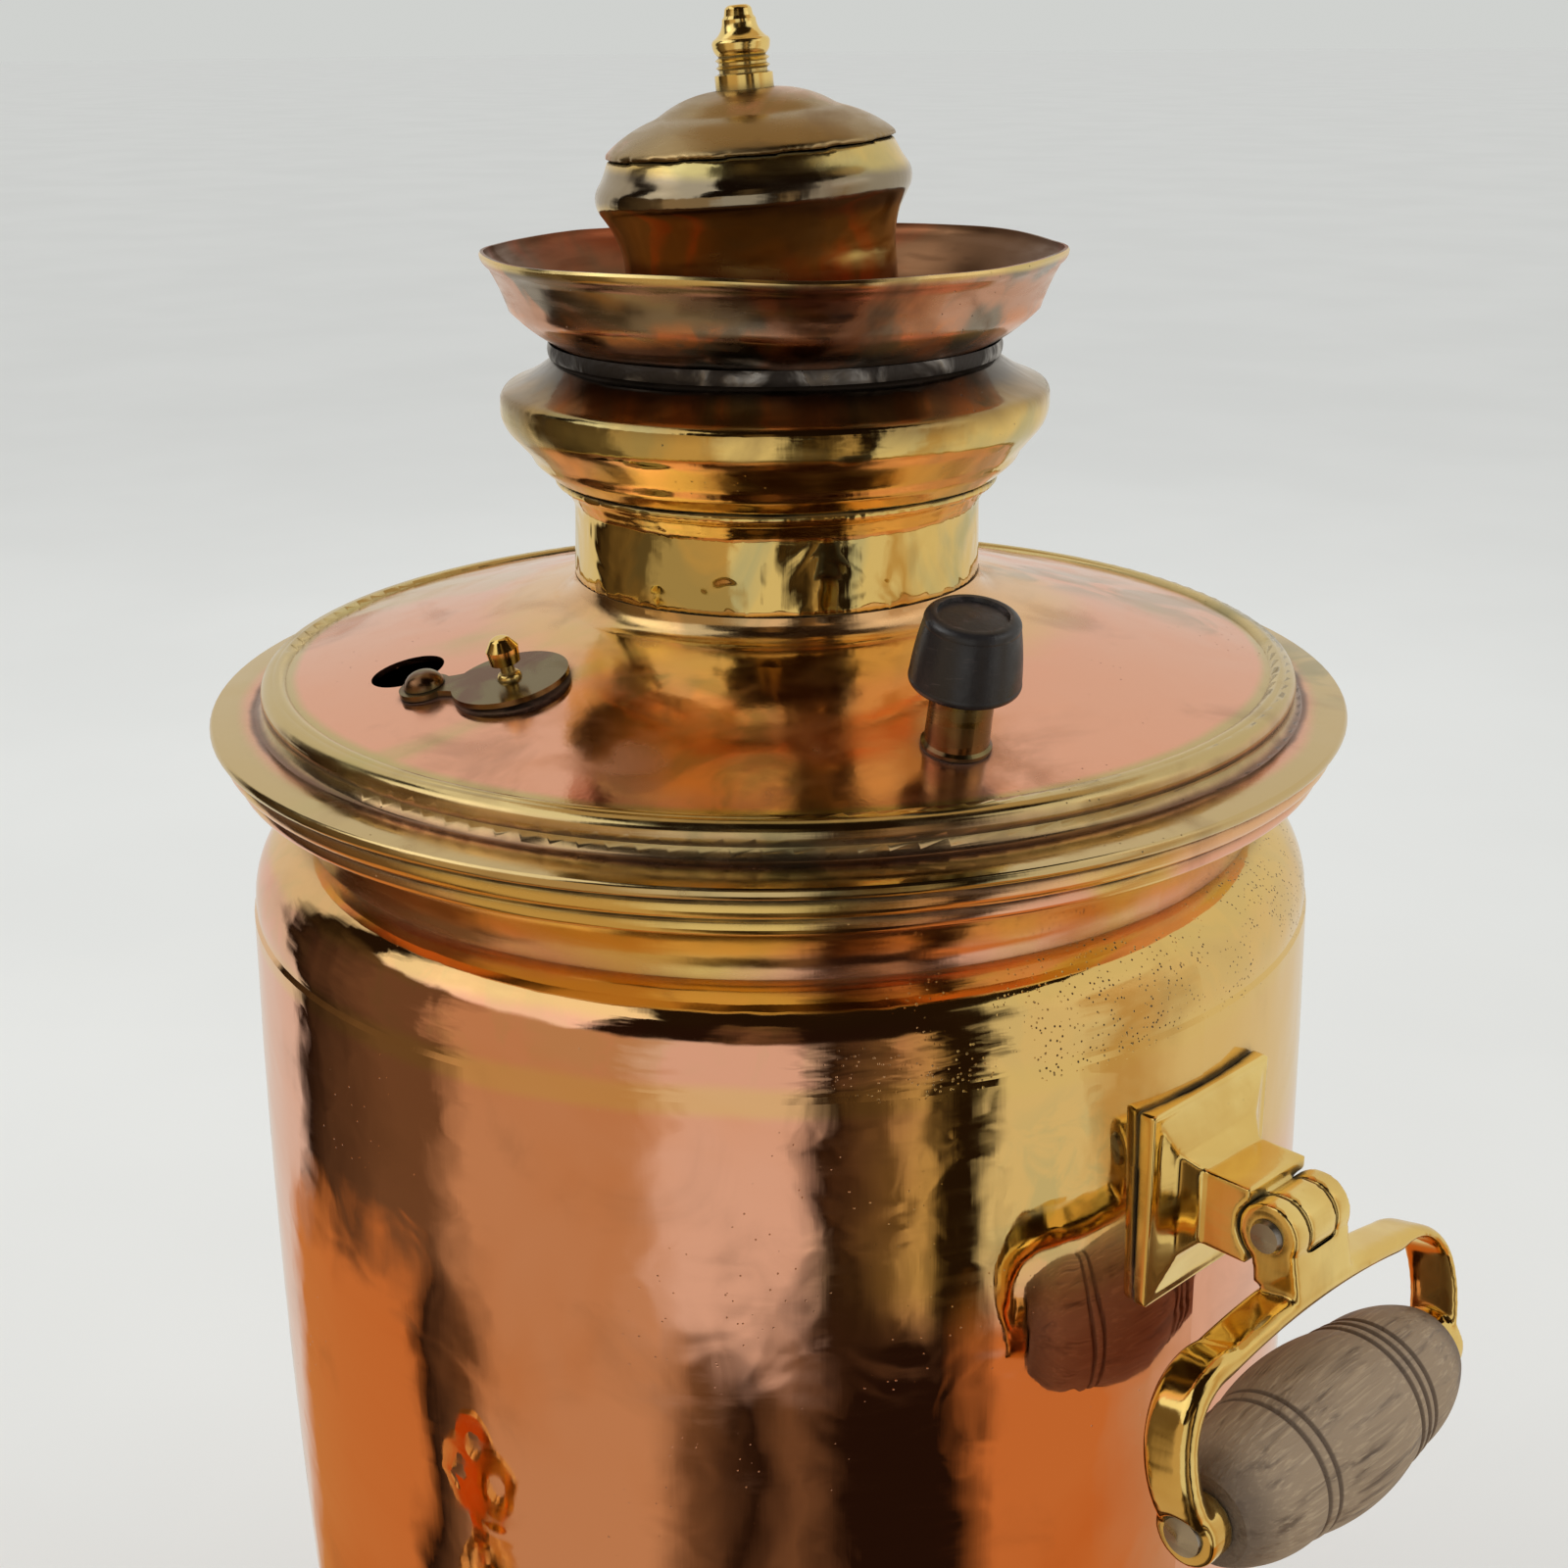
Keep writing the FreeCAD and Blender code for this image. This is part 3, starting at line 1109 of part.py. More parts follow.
def make_tap():
    """The tap: back plate, body with barrel and spout, and the tapered plug with its leaf-shaped key."""
    z = d.tap_height
    on_axis = offset_by(y=z.value)
    front = d.tank_radius + 2.0
    plate = new_body("tap_back_plate")
    r = d.tap_plate_radius
    tail = d.tap_tail_radius
    spin(plate, [
        (-(front - 12.0), tail + d.solder_gap),
        (-(front - 12.0), r),
        (-(front + 1.6), r),
        (-(front + 3.0), r - 3.0, 0),
        (-(front + 3.4), r - 6.0, -0.2),
        (-(front + 9.0), tail + 5.0),
        (-(front + 12.0), tail + 4.4),
        (-(front + 12.0), tail + d.solder_gap),
    ], role="YZ_Plane", axis="H_Axis", offset=on_axis)
    tank_side_cut(plate, d.solder_gap)

    tap = new_body("tap_body")
    reach = d.tap_reach
    barrel = d.tap_barrel_radius
    spin(tap, [
        (-(d.tank_radius - 8.0), 0),
        (-(d.tank_radius - 8.0), tail),
        (-(front + 12.2), tail),
        (-(front + 12.2), tail + 2.6),
        (-(front + 15.0), tail + 2.6, 0),
        (-(front + 18.0), tail - 0.6),
        (-(reach - barrel - 8.0), tail - 1.0, -0.15),
        (-(reach - barrel + 2.0), tail + 2.0),
        (-(reach - 2.0), tail + 2.0),
        (-(reach - 2.0), 0),
    ], role="YZ_Plane", axis="H_Axis", offset=on_axis)
    half = d.tap_barrel_height / 2
    at_plug = offset_by(z=reach.value)
    spin(tap, [
        (0, z - half),
        (barrel - 2.4, z - half),
        (barrel - 1.4, z - half + 2.0),
        (barrel - 3.0, z - half + 4.0, 0.07),
        (barrel - 1.2, z + half - 6.0),
        (barrel + 1.4, z + half - 4.6),
        (barrel + 1.4, z + half - 1.0),
        (barrel, z + half),
        (0, z + half),
    ], offset=at_plug)
    mouth = z - d.spout_drop
    spout_path = draw_path(new_sketch(tap, "YZ_Plane"), [
        (-(reach + 4.0), z),
        (-(reach + d.spout_reach - 15.0), z, 0.2071),
        (-(reach + d.spout_reach), z - 15.0),
        (-(reach + d.spout_reach), mouth),
    ], False)
    ring = draw_circle(new_sketch(tap, "XZ_Plane", offset_by(z=reach.value + 4.0)), 0, z, d.spout_radius)
    spout = feature(tap, "AdditivePipe", ring)
    spout.Spine = (spout_path, [])
    doc.recompute()
    spin(tap, [
        (0, mouth - 1.0),
        (d.spout_radius + 0.8, mouth - 1.0),
        (d.spout_radius + 1.4, mouth),
        (d.spout_radius + 1.4, mouth + 2.4),
        (d.spout_radius - 0.6, mouth + 3.4),
        (0, mouth + 3.4),
    ], offset=offset_by(z=(reach + d.spout_reach).value))
    bore = draw_circle(new_sketch(tap, "XZ_Plane", offset_by(z=reach.value + 4.0)), 0, z, d.water_way_radius)
    bore_path = draw_path(new_sketch(tap, "YZ_Plane"), [
        (-(reach + 4.0), z),
        (-(reach + d.spout_reach - 15.0), z, 0.2071),
        (-(reach + d.spout_reach), z - 15.0),
        (-(reach + d.spout_reach), z - 18.0),
    ], False)
    way = feature(tap, "SubtractivePipe", bore)
    way.Spine = (bore_path, [])
    doc.recompute()
    down = new_sketch(tap, "XY_Plane", offset_by(z=(mouth - 1.0).value))
    draw_circle(down, 0, -(reach + d.spout_reach), d.spout_bore_radius)
    cut(tap, down, d.spout_drop - 15.0, reverse=True)
    inlet = draw_circle(new_sketch(tap, "XZ_Plane"), 0, z, d.water_way_radius)
    cut(tap, inlet, reach + 5.0, reverse=True)
    rt = d.tap_plug_radius + d.pin_gap
    rl = rt - d.tap_plug_taper
    spin(tap, [(0, z - half - 1.0), (rl, z - half - 1.0), (rt, z + half + 1.0), (0, z + half + 1.0)],
         "Groove", offset=at_plug)

    plug = new_body("tap_plug")
    ru = d.tap_plug_radius
    spin(plug, [
        (0, z - half - 4.0),
        (ru - d.tap_plug_taper - 1.0, z - half - 4.0),
        (ru - d.tap_plug_taper, z - half - 3.0),
        (ru - d.tap_plug_taper, z - half - 1.0),
        (ru, z + half + d.seat_gap),
        (ru + 1.8, z + half + d.seat_gap),
        (ru + 1.8, z + half + 4.0),
        (ru - 2.5, z + half + 6.0, -0.15),
        (ru - 3.6, z + half + 12.0),
        (0, z + half + 12.0),
    ], offset=at_plug)
    cross = draw_circle(new_sketch(plug, "YZ_Plane"), -reach, z, d.water_way_radius)
    cut(plug, cross, barrel * 2, both_ways=True)

    key = new_body("tap_key")
    foot = z + half + 12.0
    lobe = d.key_lobe_radius
    leaf = offset_by(z=reach.value)
    extrude(key, draw_box(new_sketch(key, "XZ_Plane", leaf), -4.0, 4.0, foot, foot + d.key_height * 0.5),
            d.key_thickness, both_ways=True)
    lobes = [(-lobe, foot + d.key_height * 0.42), (lobe, foot + d.key_height * 0.42),
             (0, foot + d.key_height - lobe)]
    for x, height in lobes:
        extrude(key, draw_circle(new_sketch(key, "XZ_Plane", leaf), x, height, lobe),
                d.key_thickness, both_ways=True)
    for x, height in lobes:
        cut(key, draw_circle(new_sketch(key, "XZ_Plane", leaf), x, height, lobe * 0.42),
            d.key_thickness + 2.0, both_ways=True)


def build():
    """Builds every piece, checks it and writes its file."""
    make_feet()
    make_base()
    make_pedestal()
    make_tank()
    make_fire_tube()
    make_lid()
    make_neck()
    make_knobs()
    make_vent()
    make_stand()
    make_cap()
    make_handle("right", 0.0)
    make_handle("left", 180.0)
    make_tap()
    doc.recompute()
    bad = [o.Name for o in doc.Objects if "Invalid" in o.State or "Error" in o.State]
    if bad:
        raise RuntimeError(f"failed objects: {bad}")
    os.makedirs("parts", exist_ok=True)
    for name, body in made.items():
        shape = body.Shape
        if shape.isNull() or not shape.isValid() or shape.Volume <= 0:
            raise RuntimeError(f"{name} has no sound solid")
        shape.exportStep(os.path.join("parts", f"{name}.step"))
        box = shape.BoundBox
        print(f"{name}: {len(shape.Solids)} solid, {shape.Volume / 1000:.2f} cm3, "
              f"z {box.ZMin:.1f} to {box.ZMax:.1f}")


build()
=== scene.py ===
"""The looks of a jar-shaped copper samovar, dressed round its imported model, in metres in its frame."""

import json
import logging
import math
from dataclasses import dataclass, field
from enum import Enum

import bpy
from mathutils import Matrix, Vector, noise

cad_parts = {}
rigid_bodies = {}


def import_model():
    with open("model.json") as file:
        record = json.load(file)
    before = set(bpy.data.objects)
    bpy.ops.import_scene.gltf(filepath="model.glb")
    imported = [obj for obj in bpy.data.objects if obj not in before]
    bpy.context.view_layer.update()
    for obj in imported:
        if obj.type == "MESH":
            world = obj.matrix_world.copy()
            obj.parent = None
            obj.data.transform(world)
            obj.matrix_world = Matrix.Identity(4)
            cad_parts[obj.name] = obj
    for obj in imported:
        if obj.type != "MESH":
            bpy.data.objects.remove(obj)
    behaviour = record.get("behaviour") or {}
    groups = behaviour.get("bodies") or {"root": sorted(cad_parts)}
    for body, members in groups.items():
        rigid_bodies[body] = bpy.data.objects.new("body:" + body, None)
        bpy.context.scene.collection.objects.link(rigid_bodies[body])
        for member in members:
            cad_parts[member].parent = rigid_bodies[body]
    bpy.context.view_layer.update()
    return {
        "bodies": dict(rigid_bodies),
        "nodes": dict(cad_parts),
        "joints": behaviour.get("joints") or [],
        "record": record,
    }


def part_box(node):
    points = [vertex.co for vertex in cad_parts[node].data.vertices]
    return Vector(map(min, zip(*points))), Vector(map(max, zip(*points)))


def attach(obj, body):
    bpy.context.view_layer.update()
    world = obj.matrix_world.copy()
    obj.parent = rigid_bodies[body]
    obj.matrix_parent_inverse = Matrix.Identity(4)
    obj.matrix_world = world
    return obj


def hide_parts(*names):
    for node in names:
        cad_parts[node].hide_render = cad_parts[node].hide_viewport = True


LOG = logging.getLogger("samovar")
MM = 0.001
MERGE_REACH = 0.00001
WEAR_OF_A_ROUND = 0.5
UPRIGHT_AXIS = Vector((0.0, 0.0, 0.0))

Profile = list[tuple[float, float]]
Colour = tuple[float, float, float]
Socket = bpy.types.NodeSocket


class Tone(Enum):
    """The colours that the finishes share, as linear red, green and blue."""

    ROSE_COPPER = (0.93, 0.47, 0.31)
    ORANGE_COPPER = (0.86, 0.34, 0.14)
    RED_COPPER = (0.30, 0.085, 0.035)
    YELLOW_BRASS = (0.88, 0.62, 0.20)
    GREEN_BRASS = (0.62, 0.52, 0.22)
    PALE_BRASS = (0.96, 0.73, 0.27)
    DULL_BRASS = (0.38, 0.27, 0.13)
    OLD_COPPER = (0.62, 0.33, 0.21)
    BROWN_TARNISH = (0.17, 0.085, 0.042)
    GREY_TARNISH = (0.30, 0.25, 0.19)
    # dark brown for pits, dirt and painted shade in corners
    DIRT = (0.028, 0.017, 0.010)
    VERDIGRIS = (0.24, 0.25, 0.13)
    LEAD_GREY = (0.34, 0.32, 0.30)
    SOOT = (0.045, 0.038, 0.034)
    STEEL = (0.50, 0.48, 0.45)
    DARK_BRONZE = (0.21, 0.16, 0.07)
    BLACK_STAIN = (0.014, 0.012, 0.013)
    WORN_BLACK = (0.075, 0.055, 0.05)
    GREY_WOOD = (0.33, 0.235, 0.145)
    DARK_WOOD = (0.11, 0.07, 0.043)
    PALE_WOOD = (0.50, 0.37, 0.23)
    PAPER_LOW = (0.725, 0.735, 0.715)
    PAPER_HIGH = (0.75, 0.76, 0.74)
    PLASTER = (0.629, 0.642, 0.622)
    WINDOW = (1.0, 0.98, 0.92)
    ROOM_LIGHT = (0.70, 0.67, 0.61)
    ROOM_TAN = (0.52, 0.38, 0.22)
    ROOM_BROWN = (0.15, 0.10, 0.05)
    ROOM_DARK = (0.016, 0.009, 0.005)
    ROOM_AMBER = (0.55, 0.26, 0.075)


class Where(Enum):
    """What a zone is measured by."""

    RADIUS = "distance from the upright axis"
    HEIGHT = "height over the table"
    POINT = "distance from a point"
    SIDE = "distance out towards one side"


Stops = tuple[tuple[float, Tone], ...]


def rgba(tone: Tone | Colour) -> tuple[float, float, float, float]:
    """Return a tone or a colour as red, green, blue and alpha."""
    red, green, blue = tone.value if isinstance(tone, Tone) else tone
    return (red, green, blue, 1.0)


class NodeSheet:
    """A material's node tree with short ways to add the nodes that the finishes use."""

    def __init__(self, name: str) -> None:
        """Make an empty material.

        Args:
            name: The material's name.
        """
        self.material = bpy.data.materials.new(name)
        self.material.use_nodes = True
        self.tree = self.material.node_tree
        self.tree.nodes.clear()
        self.shader = self.node("BsdfPrincipled")
        self.tree.links.new(self.shader.outputs["BSDF"], self.node("OutputMaterial").inputs["Surface"])
        self.place = self.node("TexCoord").outputs["Object"]

    def node(self, kind: str, operation: str = "") -> bpy.types.Node:
        """Return a new shader node.

        Args:
            kind: The node's type, without the word that all shader nodes start with.
            operation: What it works out, where it is a maths node.

        Returns:
            The node.
        """
        node = self.tree.nodes.new(f"ShaderNode{kind}")
        if operation:
            node.operation = operation
        return node

    def put(self, socket: Socket, value: object) -> None:
        """Link a socket's source, or set its number or colour.

        Args:
            socket: The socket to feed.
            value: Another node's socket, a tone, three parts of a colour, or a number.
        """
        if isinstance(value, Socket):
            self.tree.links.new(value, socket)
        elif isinstance(value, Tone):
            socket.default_value = rgba(value)
        elif isinstance(value, tuple) and len(value) == 3 and len(socket.default_value) == 4:
            socket.default_value = rgba(value)
        else:
            socket.default_value = value

    def stretched(self, scale: tuple[float, float, float], turn: float = 0.0) -> Socket:
        """Return object coordinates scaled by axis and turned about Z.

        Args:
            scale: The scale along X, Y and Z.
            turn: Degrees about Z.

        Returns:
            The vector socket.
        """
        mapping = self.node("Mapping")
        mapping.inputs["Scale"].default_value = scale
        mapping.inputs["Rotation"].default_value = (0.0, 0.0, math.radians(turn))
        self.put(mapping.inputs["Vector"], self.place)
        return mapping.outputs["Vector"]

    def noise(self, scale: float, detail: float = 3.0, distortion: float = 0.0,
              vector: Socket | None = None) -> Socket:
        """Return a cloudy pattern.

        Args:
            scale: Waves in a metre.
            detail: How many finer layers it has.
            distortion: How much it swirls.
            vector: The place it is read at, where that isn't the object's own coordinates.

        Returns:
            The value socket.
        """
        node = self.node("TexNoise")
        node.inputs["Scale"].default_value = scale
        node.inputs["Detail"].default_value = detail
        node.inputs["Distortion"].default_value = distortion
        self.put(node.inputs["Vector"], vector or self.place)
        return node.outputs["Fac"]

    def cells(self, scale: float) -> Socket:
        """Return the distance to the nearest cell's middle, with that many cells in a metre."""
        node = self.node("TexVoronoi")
        node.inputs["Scale"].default_value = scale
        self.put(node.inputs["Vector"], self.place)
        return node.outputs["Distance"]

    def span(self, value: Socket, low: float, high: float,
             to_low: float = 0.0, to_high: float = 1.0) -> Socket:
        """Return a value mapped smoothly from one range to another, and held at its ends.

        Args:
            value: The value.
            low: What becomes to_low. It may be more than high.
            high: What becomes to_high.
            to_low: The result's first end.
            to_high: The result's other end.

        Returns:
            The value socket.
        """
        node = self.node("MapRange")
        node.interpolation_type = "SMOOTHSTEP"
        settings = {"Value": value, "From Min": low, "From Max": high, "To Min": to_low, "To Max": to_high}
        for socket, setting in settings.items():
            self.put(node.inputs[socket], setting)
        return node.outputs["Result"]

    def maths(self, operation: str, first: object, second: object) -> Socket:
        """Return the result of a maths node, held to 0..1 where it multiplies, adds or takes the greater.

        Args:
            operation: What is worked out.
            first: A socket or a number.
            second: A socket or a number.

        Returns:
            The value socket.
        """
        node = self.node("Math", operation)
        node.use_clamp = operation in ("MULTIPLY", "ADD", "MAXIMUM")
        self.put(node.inputs[0], first)
        self.put(node.inputs[1], second)
        return node.outputs[0]

    def scaled(self, value: Socket, factor: float, added: float = 0.0) -> Socket:
        """Return a value times a factor plus a number, without holding it to any range."""
        node = self.node("Math", "MULTIPLY_ADD")
        for socket, setting in zip(node.inputs, (value, factor, added)):
            self.put(socket, setting)
        return node.outputs[0]

    def blend(self, share: object, first: object, second: object) -> Socket:
        """Return a colour between first and second.

        Args:
            share: How much of the second, a socket or a number.
            first: A socket or a tone.
            second: A socket or a tone.

        Returns:
            The colour socket.
        """
        node = self.node("Mix")
        node.data_type = "RGBA"
        self.put(node.inputs["Factor"], share)
        self.put(node.inputs[6], first)
        self.put(node.inputs[7], second)
        return node.outputs[2]

    def axis(self, letter: str) -> Socket:
        """Return one object coordinate."""
        node = self.node("SeparateXYZ")
        self.put(node.inputs[0], self.place)
        return node.outputs[letter]

    def azimuth(self, middle: float) -> Socket:
        """Return the way round the axis, from 0 to 1, with 0.5 at the middle direction.

        Args:
            middle: The direction, in degrees round the object.

        Returns:
            The value socket.
        """
        split = self.node("SeparateXYZ")
        self.put(split.inputs[0], self.stretched((1.0, 1.0, 1.0), -middle))
        angle = self.node("Math", "ARCTAN2")
        self.put(angle.inputs[0], split.outputs["X"])
        self.put(angle.inputs[1], self.scaled(split.outputs["Y"], -1.0))
        return self.scaled(angle.outputs[0], 1.0 / (2.0 * math.pi), 0.5)

    def ramp(self, value: Socket, stops: Stops) -> Socket:
        """Return tones laid out along a value.

        Args:
            value: The value that the tones follow, with 0.5 for a stop at 0 degrees.
            stops: Degrees from -180 to 180, each with its tone.

        Returns:
            The colour socket.
        """
        node = self.node("ValToRGB")
        points = node.color_ramp.elements
        ready = len(points)
        for number, (degrees, tone) in enumerate(stops):
            place = 0.5 + degrees / 360.0
            point = points[number] if number < ready else points.new(place)
            point.position = place
            point.color = rgba(tone)
        self.put(node.inputs["Fac"], value)
        return node.outputs["Color"]

    def offset(self, value: Socket, pattern: Socket,
               amount: float) -> Socket:
        """Return a value moved either way by a pattern, by at most the amount."""
        moved = self.node("Math", "ADD")
        self.put(moved.inputs[0], value)
        self.put(moved.inputs[1], self.scaled(pattern, 2.0 * amount, -amount))
        return moved.outputs[0]

    def distance(self, centre: Vector, flatten: bool = False) -> Socket:
        """Return the distance from a point, or from the vertical line through it.

        Args:
            centre: The point, in metres.
            flatten: Whether heights are left out.

        Returns:
            The value socket.
        """
        mapping = self.node("Mapping")
        mapping.inputs["Location"].default_value = (-centre.x, -centre.y, 0.0 if flatten else -centre.z)
        mapping.inputs["Scale"].default_value = (1.0, 1.0, 0.0 if flatten else 1.0)
        self.put(mapping.inputs["Vector"], self.place)
        length = self.node("VectorMath", "LENGTH")
        self.put(length.inputs[0], mapping.outputs["Vector"])
        return length.outputs["Value"]

    def towards(self, degrees: float) -> Socket:
        """Return how far a point lies from the axis towards a side, in degrees round the object."""
        turn = math.radians(degrees)
        node = self.node("VectorMath", "DOT_PRODUCT")
        self.put(node.inputs[0], self.place)
        node.inputs[1].default_value = (math.sin(turn), -math.cos(turn), 0.0)
        return node.outputs["Value"]

    def corner_shade(self, reach: float) -> Socket:
        """Return how enclosed the surface is within a reach, from 0 in the open to 1 in a corner, as the mask of
        painted shade.
        """
        node = self.node("AmbientOcclusion")
        node.samples = 6
        node.inputs["Distance"].default_value = reach
        return self.span(node.outputs["AO"], 0.85, 0.35)

    def bump(self, height: Socket, depth: float,
             below: Socket | None = None) -> Socket:
        """Return a normal raised by a height pattern.

        Args:
            height: The pattern.
            depth: The rise in metres from 0 to 1 of the pattern.
            below: The normal that it is laid on.

        Returns:
            The normal socket.
        """
        node = self.node("Bump")
        node.inputs["Strength"].default_value = 1.0
        node.inputs["Distance"].default_value = depth
        self.put(node.inputs["Height"], height)
        if below is not None:
            self.put(node.inputs["Normal"], below)
        return node.outputs["Normal"]


@dataclass(frozen=True)
class Zone:
    """A part of a surface, in millimetres: where its middle is, half its width, and the width of its edge."""

    where: Where
    at: float
    half: float
    fade: float
    middle: tuple[float, float, float] = (0.0, 0.0, 0.0)

    def mask(self, sheet: NodeSheet, pattern: Socket, wander: float) -> Socket:
        """Return 1 inside the zone and 0 outside it.

        Args:
            sheet: The material that the zone is part of.
            pattern: What makes the zone's edge uneven.
            wander: How far the edge strays, in millimetres.

        Returns:
            The value socket.
        """
        if self.where is Where.HEIGHT:
            place = sheet.axis("Z")
        elif self.where is Where.RADIUS:
            place = sheet.distance(UPRIGHT_AXIS, flatten=True)
        elif self.where is Where.POINT:
            place = sheet.distance(Vector(self.middle) * MM)
        else:
            place = sheet.towards(self.middle[0])
        place = sheet.offset(place, pattern, wander * MM)
        off = sheet.maths("ABSOLUTE", sheet.maths("SUBTRACT", place, self.at * MM), 0.0)
        return sheet.span(off, (self.half + self.fade) * MM, self.half * MM)


@dataclass(frozen=True)
class Tint:
    """A tone that lies where all its zones meet."""

    tone: Tone
    zones: tuple[Zone, ...]
    share: float = 1.0
    wander: float = 3.0
    scale: float = 45.0
    patchy: bool = False
    patch_fineness: float = 1.7

    def lay(self, sheet: NodeSheet, colour: Socket) -> Socket:
        """Lay the tint over a colour.

        Args:
            sheet: The material.
            colour: The colour below.

        Returns:
            The colour socket.
        """
        pattern = sheet.noise(self.scale, 5.0, 0.4)
        share = self.share
        for zone in self.zones:
            share = sheet.maths("MULTIPLY", share, zone.mask(sheet, pattern, self.wander))
        if self.patchy:
            patches = sheet.span(sheet.noise(self.scale * self.patch_fineness, 6.0, 0.8), 0.44, 0.60)
            share = sheet.maths("MULTIPLY", share, patches)
        return sheet.blend(share, colour, self.tone)


@dataclass(frozen=True)
class Metal:
    """A worn metal: two tones in patches, tints, tarnish, pits, rubbing marks, and painted shade in its corners
    broken up by grime.
    """

    name: str
    main: Tone
    patch: Tone
    tarnish: Tone = Tone.BROWN_TARNISH
    patch_scale: float = 9.0
    patch_low: float = 0.46
    patch_high: float = 0.62
    tarnish_share: float = 0.25
    gloss: float = 0.10
    dull: float = 0.28
    wave: float = 0.0006
    wave_scale: float = 16.0
    ripple: float = 0.0
    ripple_scale: float = 70.0
    scratch: float = 0.000010
    pits: float = 0.5
    pitted: tuple[Zone, ...] = ()
    # reach of the painted shade in corners, in metres
    shade_reach: float = 0.010
    tints: tuple[Tint, ...] = ()
    cloud_scale: float = 34.0
    grime_scale: float = 90.0
    rub_scale: float = 60.0
    hairline_scale: float = 900.0
    pit_scale: float = 420.0
    fine_pit_scale: float = 900.0
    pit_depth: float = 0.0003
    stain_dullness: float = 0.45

    def build(self) -> bpy.types.Material:
        """Return the finished material."""
        sheet = NodeSheet(self.name)
        patches = sheet.span(sheet.noise(self.patch_scale, 4.0, 1.2), self.patch_low, self.patch_high)
        colour = sheet.blend(patches, self.main, self.patch)
        for tint in self.tints:
            colour = tint.lay(sheet, colour)
        cloud = sheet.noise(self.cloud_scale, 8.0, 0.6)
        stain = sheet.maths("MULTIPLY", sheet.span(cloud, 0.54, 0.74), self.tarnish_share)
        colour = sheet.blend(stain, colour, self.tarnish)
        dots = self.pit_pattern(sheet)
        # painted shade: ambient occlusion darkens the corners, broken up by uneven grime
        corner = sheet.corner_shade(self.shade_reach)
        uneven = sheet.span(sheet.noise(self.grime_scale, 6.0), 0.30, 0.60, 0.55, 1.0)
        shade_and_grime = sheet.maths("MULTIPLY", corner, uneven)
        dark = sheet.maths("MAXIMUM", dots, shade_and_grime)
        sheet.put(sheet.shader.inputs["Base Color"], sheet.blend(dark, colour, Tone.DIRT))
        rubbed = sheet.noise(self.rub_scale, 6.0, 0.4, sheet.stretched((1.0, 1.0, 6.0), 20.0))
        rough = sheet.span(rubbed, 0.35, 0.72, self.gloss, self.dull)
        dulled = sheet.maths("MULTIPLY", sheet.maths("MAXIMUM", stain, dark), self.stain_dullness)
        rough = sheet.maths("ADD", rough, dulled)
        sheet.put(sheet.shader.inputs["Roughness"], rough)
        sheet.put(sheet.shader.inputs["Metallic"], sheet.span(dark, 0.2, 0.9, 1.0, 0.25))
        normal = sheet.bump(sheet.noise(self.wave_scale, 2.0, 0.5), self.wave)
        if self.ripple > 0.0:
            normal = sheet.bump(sheet.noise(self.ripple_scale, 1.0, 0.8), self.ripple, normal)
        hairlines = sheet.noise(self.hairline_scale, 2.0, 0.0, sheet.stretched((1.0, 1.0, 0.08), 35.0))
        normal = sheet.bump(hairlines, self.scratch, normal)
        sheet.put(sheet.shader.inputs["Normal"], sheet.bump(dots, -self.pit_depth, normal))
        return sheet.material

    def pit_pattern(self, sheet: NodeSheet) -> Socket:
        """Lay out small dark pits, sparse all over and thick in the pitted zones.

        Args:
            sheet: The material.

        Returns:
            A value socket, 1 in a pit.
        """
        speckle = sheet.span(sheet.cells(self.pit_scale), 0.10, 0.03)
        sparse = sheet.maths("MULTIPLY", sheet.span(sheet.noise(26.0, 3.0), 0.56, 0.66), self.pits)
        if self.pitted:
            thick = 1.0
            pattern = sheet.noise(70.0, 4.0)
            for zone in self.pitted:
                thick = sheet.maths("MULTIPLY", thick, zone.mask(sheet, pattern, 6.0))
            thick = sheet.maths("MULTIPLY", thick, sheet.span(pattern, 0.42, 0.56))
            sparse = sheet.maths("MAXIMUM", sparse, thick)
            fine = sheet.maths("MULTIPLY", thick, sheet.span(sheet.cells(self.fine_pit_scale), 0.24, 0.12))
            speckle = sheet.maths("MAXIMUM", speckle, fine)
        return sheet.maths("MULTIPLY", speckle, sparse)


@dataclass(frozen=True)
class Solder:
    """Lumpy grey solder with black flux burnt into it."""

    name: str

    def build(self) -> bpy.types.Material:
        """Return the finished material."""
        sheet = NodeSheet(self.name)
        lumps = sheet.noise(90.0, 4.0, 0.6)
        colour = sheet.blend(sheet.span(lumps, 0.46, 0.72), Tone.SOOT, Tone.LEAD_GREY)
        sheet.put(sheet.shader.inputs["Base Color"], colour)
        sheet.shader.inputs["Metallic"].default_value = 0.85
        sheet.put(sheet.shader.inputs["Roughness"], sheet.span(lumps, 0.4, 0.7, 0.55, 0.24))
        sheet.put(sheet.shader.inputs["Normal"], sheet.bump(lumps, 0.0012))
        return sheet.material


